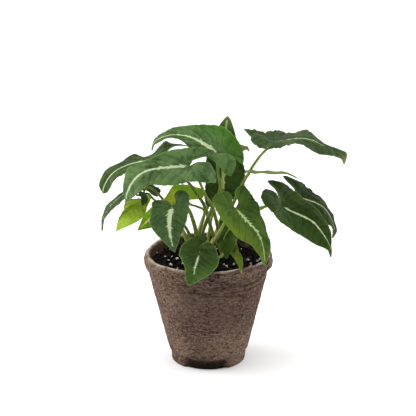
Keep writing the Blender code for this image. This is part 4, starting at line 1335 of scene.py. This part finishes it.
# %% Where the lumps lie
CRUMBS = 700
CRUMB_SIZE = (0.5, 2.2)
CRUMB_SUNK = 0.25
PERLITE_SEEN = [
    (165, 257), (168.5, 262), (172, 257), (177.5, 260), (171, 266), (183, 264), (156, 254),
    (224, 264), (226.5, 267), (234, 265.5), (248, 261), (251, 265), (257, 262.5), (213, 250),
]
PERLITE_SEEN_SIZE = (1.3, 1.9)
PERLITE_SEEN_SUNK = 0.4
PERLITE_BY_LOT = 26
PERLITE_SIZE = (0.6, 1.5)
CLEAR_OF_WALL = 2.5


def lying(x, y, size, sunk):
    """A spot at the height of the bed, its middle above it by a share of its size."""
    return x, y, bed_height(x, y) + size * sunk, size


def spots_by_lot(count, low, high):
    spots = []
    for _ in range(count):
        radius = (SOIL_RADIUS - CLEAR_OF_WALL) * math.sqrt(dice.random())
        x, y = on_circle(radius, 2 * math.pi * dice.random())
        spots.append(lying(x, y, low + (high - low) * dice.random() ** 2, CRUMB_SUNK))
    return spots


def perlite_spots():
    spots = spots_by_lot(PERLITE_BY_LOT, *PERLITE_SIZE)
    for column, row in PERLITE_SEEN:
        x, y, _ = seen_on_level(column, row, SOIL_LEVEL * MM) / MM
        spots.append(lying(x, y, dice.uniform(*PERLITE_SEEN_SIZE), PERLITE_SEEN_SUNK))
    return spots


# %% Crumbs and perlite
def perlite_finish():
    material, tree, shader, place = new_material("perlite")
    colour = blend(tree, grain(tree, place, 900.0), (204, 200, 192), (250, 248, 243))
    dress(tree, shader, colour, 0.85)
    return material


def settle_loose(item, material):
    made.objects.link(item)
    item.data.materials.append(material)
    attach(item, ROOT)


settle_loose(lump_mesh("soil_crumbs", spots_by_lot(CRUMBS, *CRUMB_SIZE), 2, 0.9), black_soil)
grains = lump_mesh("perlite_grains", perlite_spots(), 3, 0.6)
grains.data.shade_smooth()
settle_loose(grains, perlite_finish())
print("crumbs:", CRUMBS, "perlite grains:", PERLITE_BY_LOT + len(PERLITE_SEEN))

# %% [markdown]
# ## Floor and light
# The photograph is a cut-out on white. A wide white floor under soft, even light comes close to that, and
# still grounds the pot with a faint shadow. The sky is brightest overhead and to the sides, which gives
# dark leaves a little gloss along their folds, and three wide panels fill in.

# %% Floor
FLOOR_WIDTH = 12.0
FLOOR_WHITE = (0.95, 0.95, 0.95, 1)

bpy.ops.mesh.primitive_plane_add(size=FLOOR_WIDTH)
floor = bpy.context.object
floor.name = "studio_floor"
white, tree, shader, _ = new_material("white_floor")
dress(tree, shader, FLOOR_WHITE, 1.0, 0.0)
floor.data.materials.append(white)
print("floor width in m:", FLOOR_WIDTH)

# %% Sky
world = bpy.data.worlds.new("studio")
world.use_nodes = True
air = world.node_tree
to_right, to_back, up = split(air, node(air, "TexCoord", output=0))
overhead = soft_step(air, up, 0.0, 0.85, 0.0, 1.15)
overhead = times(air, overhead, soft_step(air, to_back, -0.9, 0.1, 0.5, 1.0))
sides = soft_step(air, maths(air, "ABSOLUTE", to_right), 0.35, 1.0, 0.0, 0.7)
behind = soft_step(air, to_back, -0.2, 0.9, 0.0, 0.25)
glow = plus(air, plus(air, overhead, sides), plus(air, behind, 0.2))
fill(air, air.nodes["Background"], {"Strength": glow, "Color": (1, 1, 1, 1)})
bpy.context.scene.world = world
bpy.context.scene.view_settings.view_transform = "Standard"
print("sky nodes:", len(air.nodes))

# %% Lights
MIDDLE = (0, 0, 0.14)


def panel(name, place, aim, width, power):
    """A soft square light that looks at a point."""
    light = bpy.data.lights.new(name, "AREA")
    light.size = width
    light.energy = power
    lamp = bpy.data.objects.new(name, light)
    lamp.location = place
    lamp.rotation_euler = (Vector(aim) - Vector(place)).to_track_quat("-Z", "Y").to_euler()
    bpy.context.scene.collection.objects.link(lamp)


panel("key", (-0.8, -0.4, 1.4), MIDDLE, 0.7, 5)
panel("left_side", (-1.2, 0.35, 0.3), MIDDLE, 0.8, 13)
panel("right_side", (1.2, 0.35, 0.3), MIDDLE, 0.8, 8)
